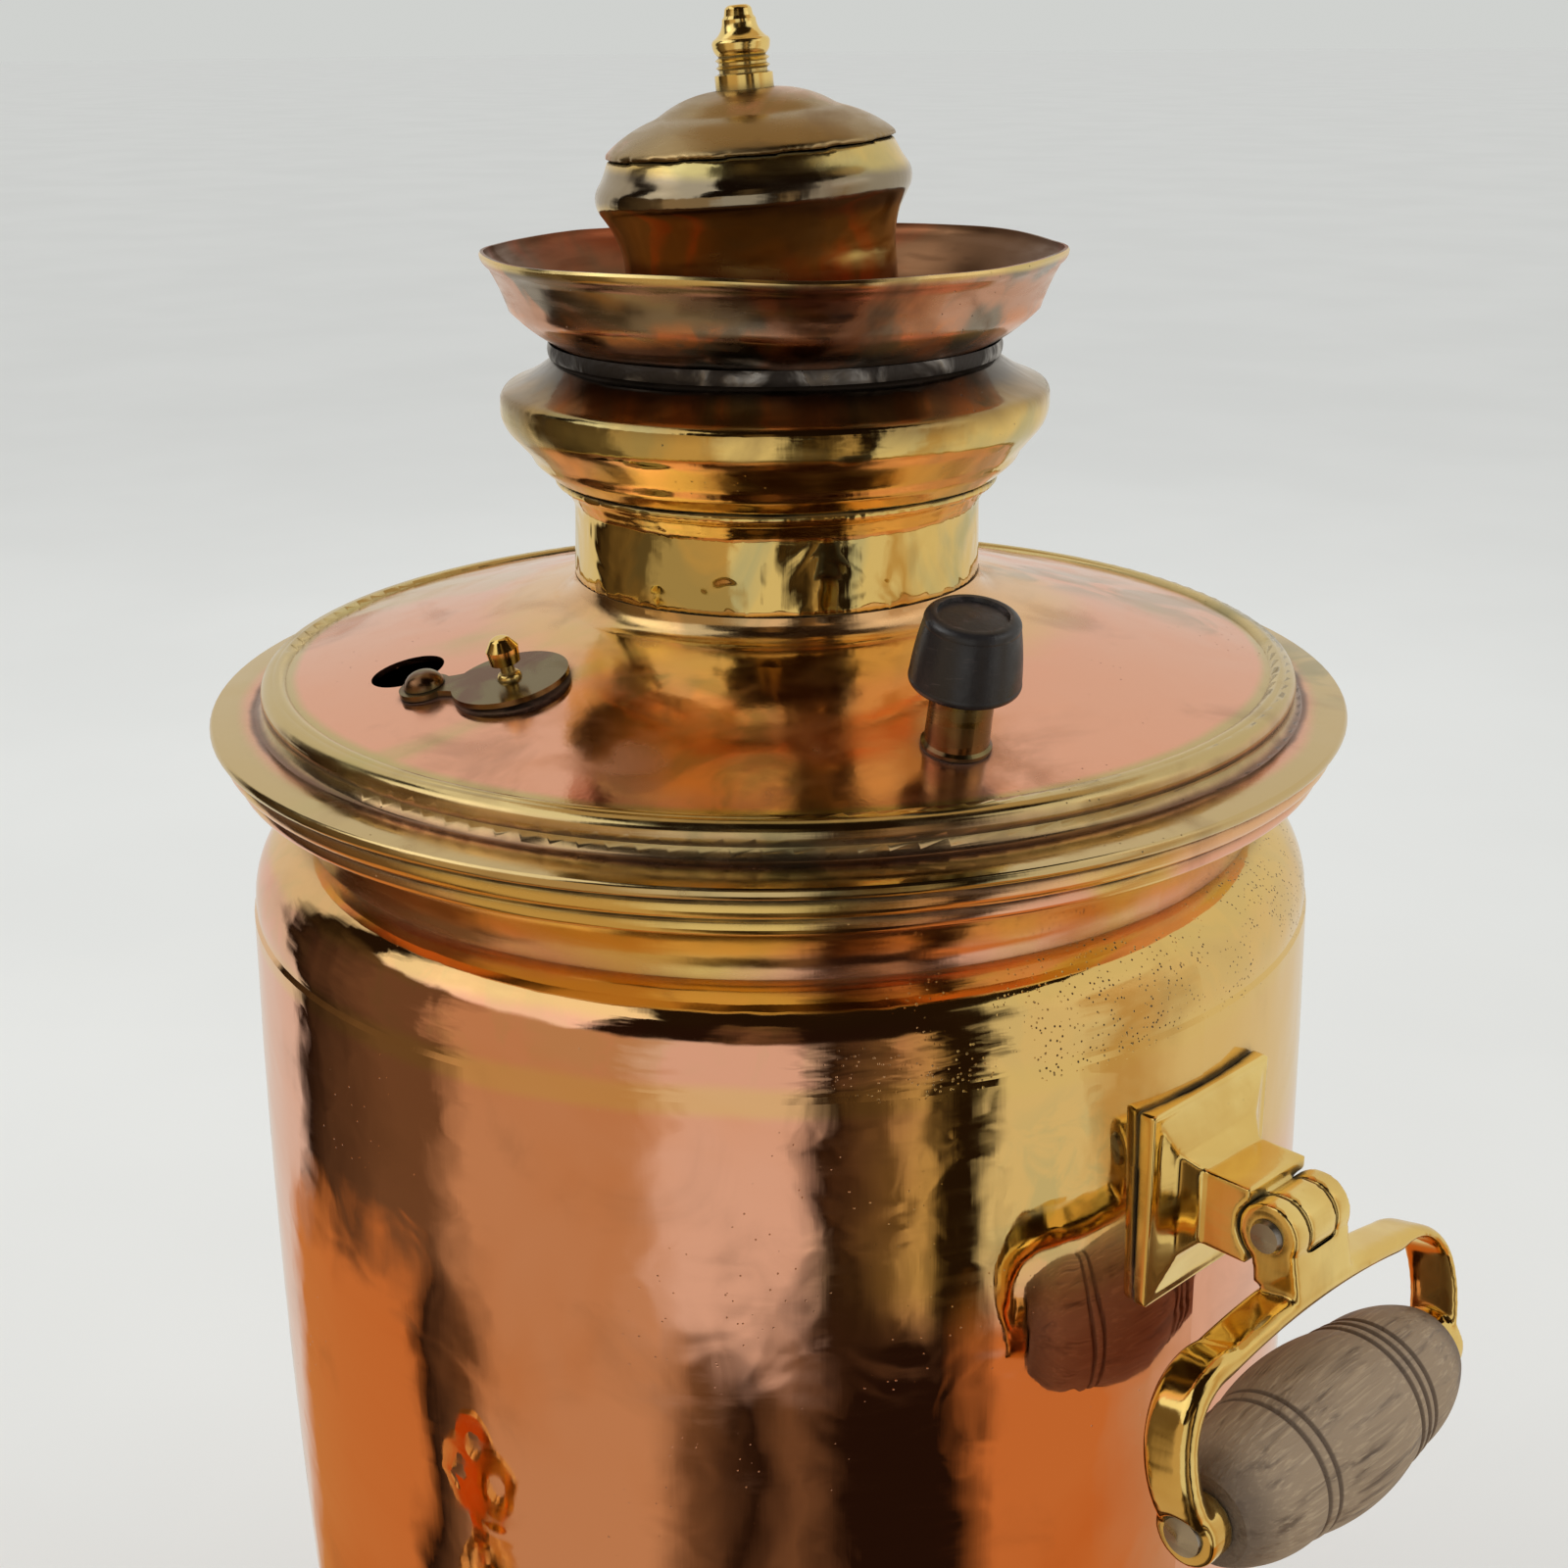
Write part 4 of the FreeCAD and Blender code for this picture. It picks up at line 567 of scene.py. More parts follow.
@dataclass(frozen=True)
class StainedKnob:
    """Black stained wood, rubbed brown along its edges, with fine scratches."""

    name: str
    edge_width: float = 0.0012

    def build(self) -> bpy.types.Material:
        """Return the finished material."""
        sheet = NodeSheet(self.name)
        bevel = sheet.node("Bevel")
        bevel.samples = 4
        bevel.inputs["Radius"].default_value = self.edge_width
        turned = sheet.node("VectorMath", "DOT_PRODUCT")
        sheet.put(turned.inputs[0], bevel.outputs["Normal"])
        sheet.put(turned.inputs[1], sheet.node("NewGeometry").outputs["Normal"])
        edge = sheet.span(turned.outputs["Value"], 0.99, 0.86)
        chips = sheet.span(sheet.noise(500.0, 5.0), 0.45, 0.62)
        worn = sheet.maths("MULTIPLY", edge, chips)
        scuffs = sheet.noise(260.0, 6.0, 0.0, sheet.stretched((1.0, 1.0, 7.0)))
        marks = sheet.span(scuffs, 0.60, 0.72, 0.0, 0.4)
        colour = sheet.blend(sheet.maths("MAXIMUM", worn, marks), Tone.BLACK_STAIN, Tone.WORN_BLACK)
        sheet.put(sheet.shader.inputs["Base Color"], colour)
        sheet.put(sheet.shader.inputs["Roughness"], sheet.span(sheet.noise(120.0, 5.0), 0.3, 0.7, 0.24, 0.46))
        sheet.put(sheet.shader.inputs["Normal"], sheet.bump(sheet.noise(700.0, 5.0), 0.00006))
        return sheet.material


@dataclass(frozen=True)
class TurnedWood:
    """Bare weathered wood, its grain along Y, with dark lines round it where the lathe cut grooves."""

    name: str
    grooves: tuple[float, ...]

    def build(self) -> bpy.types.Material:
        """Return the finished material."""
        sheet = NodeSheet(self.name)
        grain = sheet.noise(420.0, 8.0, 0.5, sheet.stretched((1.0, 0.09, 1.0)))
        streaks = sheet.noise(1500.0, 3.0, 0.0, sheet.stretched((1.0, 0.04, 1.0)))
        colour = sheet.blend(sheet.span(grain, 0.22, 0.52), Tone.DARK_WOOD, Tone.GREY_WOOD)
        colour = sheet.blend(sheet.span(streaks, 0.50, 0.70, 0.0, 0.55), colour, Tone.PALE_WOOD)
        along = sheet.axis("Y")
        # darker lines in the grooves, and darker towards both ends
        groove_darkening = 0.0
        for place in self.grooves:
            off = sheet.maths("ABSOLUTE", sheet.maths("SUBTRACT", along, place * MM), 0.0)
            groove_darkening = sheet.maths("MAXIMUM", groove_darkening, sheet.span(off, 0.0011, 0.0004))
        ends = sheet.span(sheet.maths("ABSOLUTE", along, 0.0), 0.030, 0.039, 0.0, 0.75)
        dark = sheet.maths("MAXIMUM", sheet.maths("MULTIPLY", groove_darkening, 0.85), ends)
        sheet.put(sheet.shader.inputs["Base Color"], sheet.blend(dark, colour, Tone.DARK_WOOD))
        sheet.put(sheet.shader.inputs["Roughness"], sheet.span(grain, 0.3, 0.7, 0.50, 0.75))
        normal = sheet.bump(streaks, 0.00022)
        sheet.put(sheet.shader.inputs["Normal"], sheet.bump(grain, 0.00030, normal))
        return sheet.material


def deselect() -> None:
    """Deselect every object."""
    bpy.ops.object.select_all(action="DESELECT")


def arc(first: tuple[float, float], last: tuple[float, float], bow: float, steps: int = 8) -> Profile:
    """Return points of an arc, without its first.

    Args:
        first: Radius and height where the arc starts, in millimetres.
        last: Radius and height where it ends.
        bow: How far the middle stands to the right of the way, as a share of the chord.
        steps: The number of points.

    Returns:
        The points, in millimetres.
    """
    start, end = Vector(first), Vector(last)
    chord = end - start
    if abs(bow) < 1e-6:
        return [tuple(start + chord * (i + 1) / steps) for i in range(steps)]
    right = Vector((chord.y, -chord.x)).normalized()
    length = chord.length
    radius = length * (1 / (8 * abs(bow)) + abs(bow) / 2)
    side = math.copysign(1.0, bow)
    centre = (start + end) / 2 + right * side * (abs(bow) * length - radius)
    from_centre = start - centre
    turn = math.asin(min(1.0, length / 2 / radius)) * 2 * side
    points = []
    for i in range(steps):
        angle = turn * (i + 1) / steps
        cosine, sine = math.cos(angle), math.sin(angle)
        x, y = from_centre
        points.append(tuple(centre + Vector((x * cosine - y * sine, x * sine + y * cosine))))
    return points


@dataclass(frozen=True)
class Dent:
    """How far a beaten surface wanders from a true turned one."""

    depth: float = 0.0
    scale: float = 30.0
    seed: float = 0.0
    lift: float = 0.0
    waves_round: float = 1.7

    def shift(self, point: Vector) -> Vector:
        """Move a point of the surface.

        Args:
            point: The point, in metres.

        Returns:
            Where it goes.
        """
        out = Vector((point.x, point.y, 0.0))
        if out.length < MERGE_REACH:
            return point
        place = point * self.scale + Vector((self.seed, 0.0, 0.0))
        ring = out.normalized() * self.waves_round + Vector((0.0, 0.0, self.seed))
        moved = point + out.normalized() * (noise.noise(place) * self.depth)
        moved.z += noise.noise(ring) * self.lift
        return moved


def turned_shell(name: str, profile: Profile, segments: int, dent: Dent | None = None,
                 sharp: float = 32.0) -> bpy.types.Object:
    """Turn a closed outline round Z, as on a lathe, by pulling a ring of edges along it.

    Args:
        name: The piece's name.
        profile: Radius and height of each point of the outline, in millimetres, anticlockwise.
        segments: The number of steps round.
        dent: How the finished surface is beaten.
        sharp: Edges of more than these degrees aren't shaded smooth.

    Returns:
        The piece.
    """
    deselect()
    radius, height = profile[0]
    bpy.ops.mesh.primitive_circle_add(vertices=segments, radius=radius * MM, location=(0.0, 0.0, height * MM))
    piece = bpy.context.object
    piece.name = name
    bpy.ops.object.transform_apply(location=True, rotation=True, scale=True)
    bpy.ops.object.mode_set(mode="EDIT")
    bpy.ops.mesh.select_all(action="SELECT")
    for next_radius, next_height in profile[1:] + profile[:1]:
        rise = (next_height - height) * MM
        bpy.ops.mesh.extrude_edges_move(TRANSFORM_OT_translate={"value": (0.0, 0.0, rise)})
        spread = next_radius / radius
        bpy.ops.transform.resize(value=(spread, spread, 1.0), center_override=(0.0, 0.0, 0.0))
        radius, height = next_radius, next_height
    bpy.ops.mesh.select_all(action="SELECT")
    bpy.ops.mesh.remove_doubles(threshold=MERGE_REACH)
    bpy.ops.mesh.normals_make_consistent(inside=False)
    bpy.ops.object.mode_set(mode="OBJECT")
    if dent is not None:
        for vertex in piece.data.vertices:
            vertex.co = dent.shift(vertex.co)
    bpy.ops.object.shade_smooth_by_angle(angle=math.radians(sharp))
    return piece


def worn_copy(node: bpy.types.Object, name: str, grain: float, rounds: int,
              dent: Dent | None = None) -> bpy.types.Object:
    """Return a copy of a node that years of handling have rounded.

    Args:
        node: The model's node.
        name: The new piece's name.
        grain: The size of the copy's faces, in millimetres.
        rounds: How often the surface is smoothed.
        dent: How the surface is beaten.

    Returns:
        The piece.
    """
    deselect()
    node.select_set(True)
    bpy.context.view_layer.objects.active = node
    bpy.ops.object.duplicate()
    piece = bpy.context.object
    piece.name = name
    bpy.ops.object.mode_set(mode="EDIT")
    bpy.ops.mesh.select_all(action="SELECT")
    bpy.ops.mesh.remove_doubles(threshold=MERGE_REACH)
    bpy.ops.object.mode_set(mode="OBJECT")
    remesh = piece.modifiers.new("skin", "REMESH")
    remesh.mode = "VOXEL"
    remesh.voxel_size = grain * MM
    bpy.ops.object.modifier_apply(modifier=remesh.name)
    smooth = piece.modifiers.new("wear", "SMOOTH")
    smooth.factor = WEAR_OF_A_ROUND
    smooth.iterations = rounds
    bpy.ops.object.modifier_apply(modifier=smooth.name)
    if dent is not None:
        for vertex in piece.data.vertices:
            vertex.co = dent.shift(vertex.co)
    bpy.ops.object.shade_smooth()
    return piece


def settle(piece: bpy.types.Object, material: bpy.types.Material, slot: str, body: str, *nodes: str) -> None:
    """Finish a new piece.

    Args:
        piece: The piece, in its place.
        material: Its finish.
        slot: The record's material slot; not used.
        body: The body that it rides on.
        nodes: The model's nodes that it stands for.
    """
    piece.data.materials.clear()
    piece.data.materials.append(material)
    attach(piece, body)
    if nodes:
        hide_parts(*nodes)
    LOG.info("%s: %d faces, rides on %s", piece.name, len(piece.data.polygons), body)


@dataclass
class Camera:
    """The photograph's viewpoint."""

    azimuth: float = 46.0
    reach: float = 488.65
    aside: float = 1.1
    height: float = 545.3
    down: float = 19.756
    roll: float = -0.5235
    lens: float = 49.5
    sensor: float = 36.0
    nearest: float = 0.01

    def make(self) -> None:
        """Place the camera and make it the scene's own."""
        turn, tip, lean = (math.radians(v) for v in (self.azimuth, self.down, self.roll))
        right = Vector((math.cos(turn), math.sin(turn), 0.0))
        away = Vector((math.sin(turn), -math.cos(turn), 0.0))
        forward = Vector((-away.x * math.cos(tip), -away.y * math.cos(tip), -math.sin(tip)))
        up = right.cross(forward)
        level_right, level_up = right.copy(), up.copy()
        right = level_right * math.cos(lean) + level_up * math.sin(lean)
        up = level_up * math.cos(lean) - level_right * math.sin(lean)
        data = bpy.data.cameras.new("viewpoint")
        data.lens = self.lens
        data.sensor_width = self.sensor
        data.clip_start = self.nearest
        camera = bpy.data.objects.new("viewpoint", data)
        bpy.context.collection.objects.link(camera)
        place = (away * self.reach + level_right * self.aside) * MM
        place.z = self.height * MM
        camera.matrix_world = Matrix((
            (right.x, up.x, -forward.x, place.x),
            (right.y, up.y, -forward.y, place.y),
            (right.z, up.z, -forward.z, place.z),
            (0.0, 0.0, 0.0, 1.0),
        ))
        bpy.context.scene.camera = camera


@dataclass(frozen=True)
class Lamp:
    """A soft square lamp aimed at the object: degrees round it as the camera's, metres, and watts."""

    name: str
    azimuth: float
    reach: float
    height: float
    power: float
    size: float = 0.6
    aim_height: float = 0.3

    def make(self) -> None:
        """Hang the lamp."""
        turn = math.radians(self.azimuth)
        place = Vector((math.sin(turn) * self.reach, -math.cos(turn) * self.reach, self.height))
        data = bpy.data.lights.new(self.name, "AREA")
        data.size = self.size
        data.energy = self.power
        lamp = bpy.data.objects.new(self.name, data)
        bpy.context.collection.objects.link(lamp)
        lamp.location = place
        aim = Vector((0.0, 0.0, self.aim_height)) - place
        lamp.rotation_euler = aim.to_track_quat("-Z", "Y").to_euler()


def seen_rays(tree: bpy.types.NodeTree) -> Socket:
    """Tell what is looked at from the light that falls on the object.

    Args:
        tree: The node tree of a material or the world.

    Returns:
        A value socket, 1 for what the camera sees, straight, in gloss or through glass.
    """
    paths = tree.nodes.new("ShaderNodeLightPath")
    seen = paths.outputs["Is Camera Ray"]
    for ray in ("Is Glossy Ray", "Is Transmission Ray"):
        either = tree.nodes.new("ShaderNodeMath")
        either.operation = "MAXIMUM"
        tree.links.new(seen, either.inputs[0])
        tree.links.new(paths.outputs[ray], either.inputs[1])
        seen = either.outputs[0]
    return seen


@dataclass
class Studio:
    """A pale floor, soft lamps, and a room of dark and light shapes that only the polished metal sees.

    The room is an upright wall round the object, a round of floor inside it and a ceiling. Its shapes are
    given in degrees either side of the camera.
    """

    ambient: float = 0.75
    floor_lift: float = 0.10
    floor_radius: float = 30.0
    floor_level: float = -0.0004
    floor_roughness: float = 0.8
    paper_scale: float = 3.0
    ceiling_radius: float = 0.86
    ceiling_height: float = 1.30
    camera_azimuth: float = 46.0
    wall_radius: float = 0.85
    wall_height: float = 1.30
    wall_foot: float = 0.0002
    wall_steps: int = 128
    lamps: tuple[Lamp, ...] = (
        Lamp("key_lamp", -35.0, 1.5, 1.5, 6.0),
        Lamp("fill_lamp", 120.0, 1.6, 1.2, 3.0),
        Lamp("back_lamp", 225.0, 1.6, 1.4, 3.5),
    )
    jag: float = 0.022
    near_edge: tuple[float, float] = (0.54, 0.64)
    high_edge: tuple[float, float] = (0.10, 0.18)
    far_stops: Stops = (
        (-180.0, Tone.ROOM_LIGHT), (-119.0, Tone.ROOM_LIGHT), (-113.0, Tone.ROOM_DARK),
        (-84.0, Tone.ROOM_BROWN), (-72.0, Tone.ROOM_BROWN), (-62.0, Tone.ROOM_TAN), (-30.0, Tone.ROOM_TAN),
        (-19.0, Tone.ROOM_LIGHT), (2.0, Tone.ROOM_LIGHT), (9.0, Tone.ROOM_DARK), (20.0, Tone.ROOM_BROWN),
        (25.0, Tone.ROOM_TAN), (30.0, Tone.ROOM_DARK), (37.0, Tone.ROOM_DARK), (42.0, Tone.ROOM_LIGHT),
        (58.0, Tone.ROOM_LIGHT), (68.0, Tone.ROOM_TAN), (88.0, Tone.ROOM_LIGHT), (180.0, Tone.ROOM_LIGHT),
    )
    near_stops: Stops = (
        (-180.0, Tone.ROOM_LIGHT), (-128.0, Tone.ROOM_LIGHT), (-118.0, Tone.ROOM_AMBER),
        (-78.0, Tone.ROOM_AMBER), (-72.0, Tone.ROOM_DARK), (-64.0, Tone.ROOM_BROWN), (-56.0, Tone.ROOM_TAN),
        (-26.0, Tone.ROOM_TAN), (-17.0, Tone.ROOM_BROWN), (-6.0, Tone.ROOM_DARK), (4.0, Tone.ROOM_BROWN),
        (11.0, Tone.ROOM_DARK), (30.0, Tone.ROOM_DARK), (40.0, Tone.ROOM_AMBER), (62.0, Tone.ROOM_AMBER),
        (76.0, Tone.ROOM_TAN), (94.0, Tone.ROOM_LIGHT), (180.0, Tone.ROOM_LIGHT),
    )
    high_stops: Stops = (
        (-180.0, Tone.ROOM_LIGHT), (-118.0, Tone.ROOM_LIGHT), (-111.0, Tone.ROOM_DARK),
        (-99.0, Tone.ROOM_DARK), (-93.0, Tone.WINDOW), (-44.0, Tone.WINDOW), (-36.0, Tone.ROOM_DARK),
        (-14.0, Tone.ROOM_DARK), (-6.0, Tone.ROOM_BROWN), (6.0, Tone.ROOM_DARK), (44.0, Tone.ROOM_DARK),
        (52.0, Tone.ROOM_LIGHT), (180.0, Tone.ROOM_LIGHT),
    )

    def make(self) -> None:
        """Make the floor, the room, the lamps and the world."""
        bpy.context.scene.view_settings.view_transform = "Standard"
        self.make_world()
        self.make_floor()
        self.make_room()
        for lamp in self.lamps:
            lamp.make()

    def make_world(self) -> None:
        """Make a soft white world that looks like pale plaster to the camera and in reflections."""
        world = bpy.data.worlds.new("studio")
        bpy.context.scene.world = world
        world.use_nodes = True
        tree = world.node_tree
        tree.nodes.clear()
        output = tree.nodes.new("ShaderNodeOutputWorld")
        plain = tree.nodes.new("ShaderNodeBackground")
        plain.inputs["Color"].default_value = (1.0, 1.0, 1.0, 1.0)
        plain.inputs["Strength"].default_value = self.ambient
        backdrop = tree.nodes.new("ShaderNodeBackground")
        backdrop.inputs["Color"].default_value = rgba(Tone.PLASTER)
        backdrop.inputs["Strength"].default_value = 1.0
        mix = tree.nodes.new("ShaderNodeMixShader")
        tree.links.new(seen_rays(tree), mix.inputs[0])
        tree.links.new(plain.outputs[0], mix.inputs[1])
        tree.links.new(backdrop.outputs[0], mix.inputs[2])
        tree.links.new(mix.outputs[0], output.inputs["Surface"])

    def make_floor(self) -> None:
        """Make the pale floor."""
        deselect()
        bpy.ops.mesh.primitive_circle_add(vertices=96, radius=self.floor_radius, fill_type="NGON",
                                          location=(0.0, 0.0, self.floor_level))
        floor = bpy.context.object
        floor.name = "studio_floor"
        sheet = NodeSheet("floor_paper")
        clouds = sheet.span(sheet.noise(self.paper_scale), 0.3, 0.7)
        tone = sheet.blend(clouds, Tone.PAPER_LOW, Tone.PAPER_HIGH)
        sheet.put(sheet.shader.inputs["Base Color"], tone)
        sheet.shader.inputs["Roughness"].default_value = self.floor_roughness
        sheet.put(sheet.shader.inputs["Emission Color"], Tone.PLASTER)
        lift = sheet.maths("MULTIPLY", seen_rays(sheet.tree), self.floor_lift)
        sheet.put(sheet.shader.inputs["Emission Strength"], lift)
        floor.data.materials.append(sheet.material)

    def make_room(self) -> None:
        """Make the wall, the round of floor and the ceiling that only reflections show."""
        material = self.room_paint()
        deselect()
        bpy.ops.mesh.primitive_cylinder_add(
            vertices=self.wall_steps, radius=self.wall_radius, depth=self.wall_height,
            end_fill_type="NOTHING", location=(0.0, 0.0, self.wall_height / 2),
        )
        self.hide_from_camera(bpy.context.object, "studio_room_wall", material)
        deselect()
        bpy.ops.mesh.primitive_circle_add(vertices=self.wall_steps, radius=self.wall_radius, fill_type="NGON",
                                          location=(0.0, 0.0, self.wall_foot))
        self.hide_from_camera(bpy.context.object, "studio_room_floor", material)
        deselect()
        bpy.ops.mesh.primitive_circle_add(vertices=64, radius=self.ceiling_radius, fill_type="NGON",
                                          location=(0.0, 0.0, self.ceiling_height))
        self.hide_from_camera(bpy.context.object, "studio_room_ceiling", self.ceiling_paint())

    def room_paint(self) -> bpy.types.Material:
        """Return the paint of the room: tones in uneven bands, other ones low near the object and high up."""
        sheet = NodeSheet("room_paint")
        way = sheet.offset(sheet.azimuth(self.camera_azimuth), sheet.noise(9.0, 5.0, 0.6), self.jag)
        radius = sheet.offset(sheet.distance(UPRIGHT_AXIS, flatten=True), sheet.noise(12.0, 4.0), 0.05)
        height = sheet.offset(sheet.axis("Z"), sheet.noise(7.0, 3.0), 0.06)
        colour = sheet.blend(sheet.span(radius, *self.near_edge), sheet.ramp(way, self.near_stops),
                             sheet.ramp(way, self.far_stops))
        colour = sheet.blend(sheet.span(height, *self.high_edge), colour, sheet.ramp(way, self.high_stops))
        self.make_glow(sheet, colour)
        return sheet.material

    def ceiling_paint(self) -> bpy.types.Material:
        """Return the paint of the ceiling: dark over the camera and brown on the far side."""
        sheet = NodeSheet("ceiling_paint")
        place = sheet.offset(sheet.towards(self.camera_azimuth), sheet.noise(3.0, 4.0, 0.6), 0.12)
        colour = sheet.blend(sheet.span(place, -0.10, 0.10), Tone.ROOM_TAN, Tone.ROOM_DARK)
        aside = sheet.offset(sheet.towards(self.camera_azimuth - 90.0), sheet.noise(4.0, 4.0, 0.6), 0.08)
        colour = sheet.blend(sheet.span(aside, 0.36, 0.46), colour, Tone.WINDOW)
        self.make_glow(sheet, colour)
        return sheet.material

    @staticmethod
    def make_glow(sheet: NodeSheet, colour: Socket) -> None:
        """Make a paint that shows its colour as written, whatever the light.

        Args:
            sheet: The paint's material.
            colour: Its colour.
        """
        sheet.put(sheet.shader.inputs["Base Color"], (0.0, 0.0, 0.0))
        sheet.shader.inputs["Roughness"].default_value = 1.0
        sheet.shader.inputs["Specular IOR Level"].default_value = 0.0
        sheet.put(sheet.shader.inputs["Emission Color"], colour)
        sheet.shader.inputs["Emission Strength"].default_value = 1.0

    @staticmethod
    def hide_from_camera(card: bpy.types.Object, name: str, material: bpy.types.Material) -> None:
        """Make a card show in reflections alone.

        Args:
            card: The card.
            name: Its name.
            material: Its paint.
        """
        card.name = name
        card.data.materials.append(material)
        card.visible_camera = False
        card.visible_diffuse = False
        card.visible_shadow = False
        card.visible_transmission = False


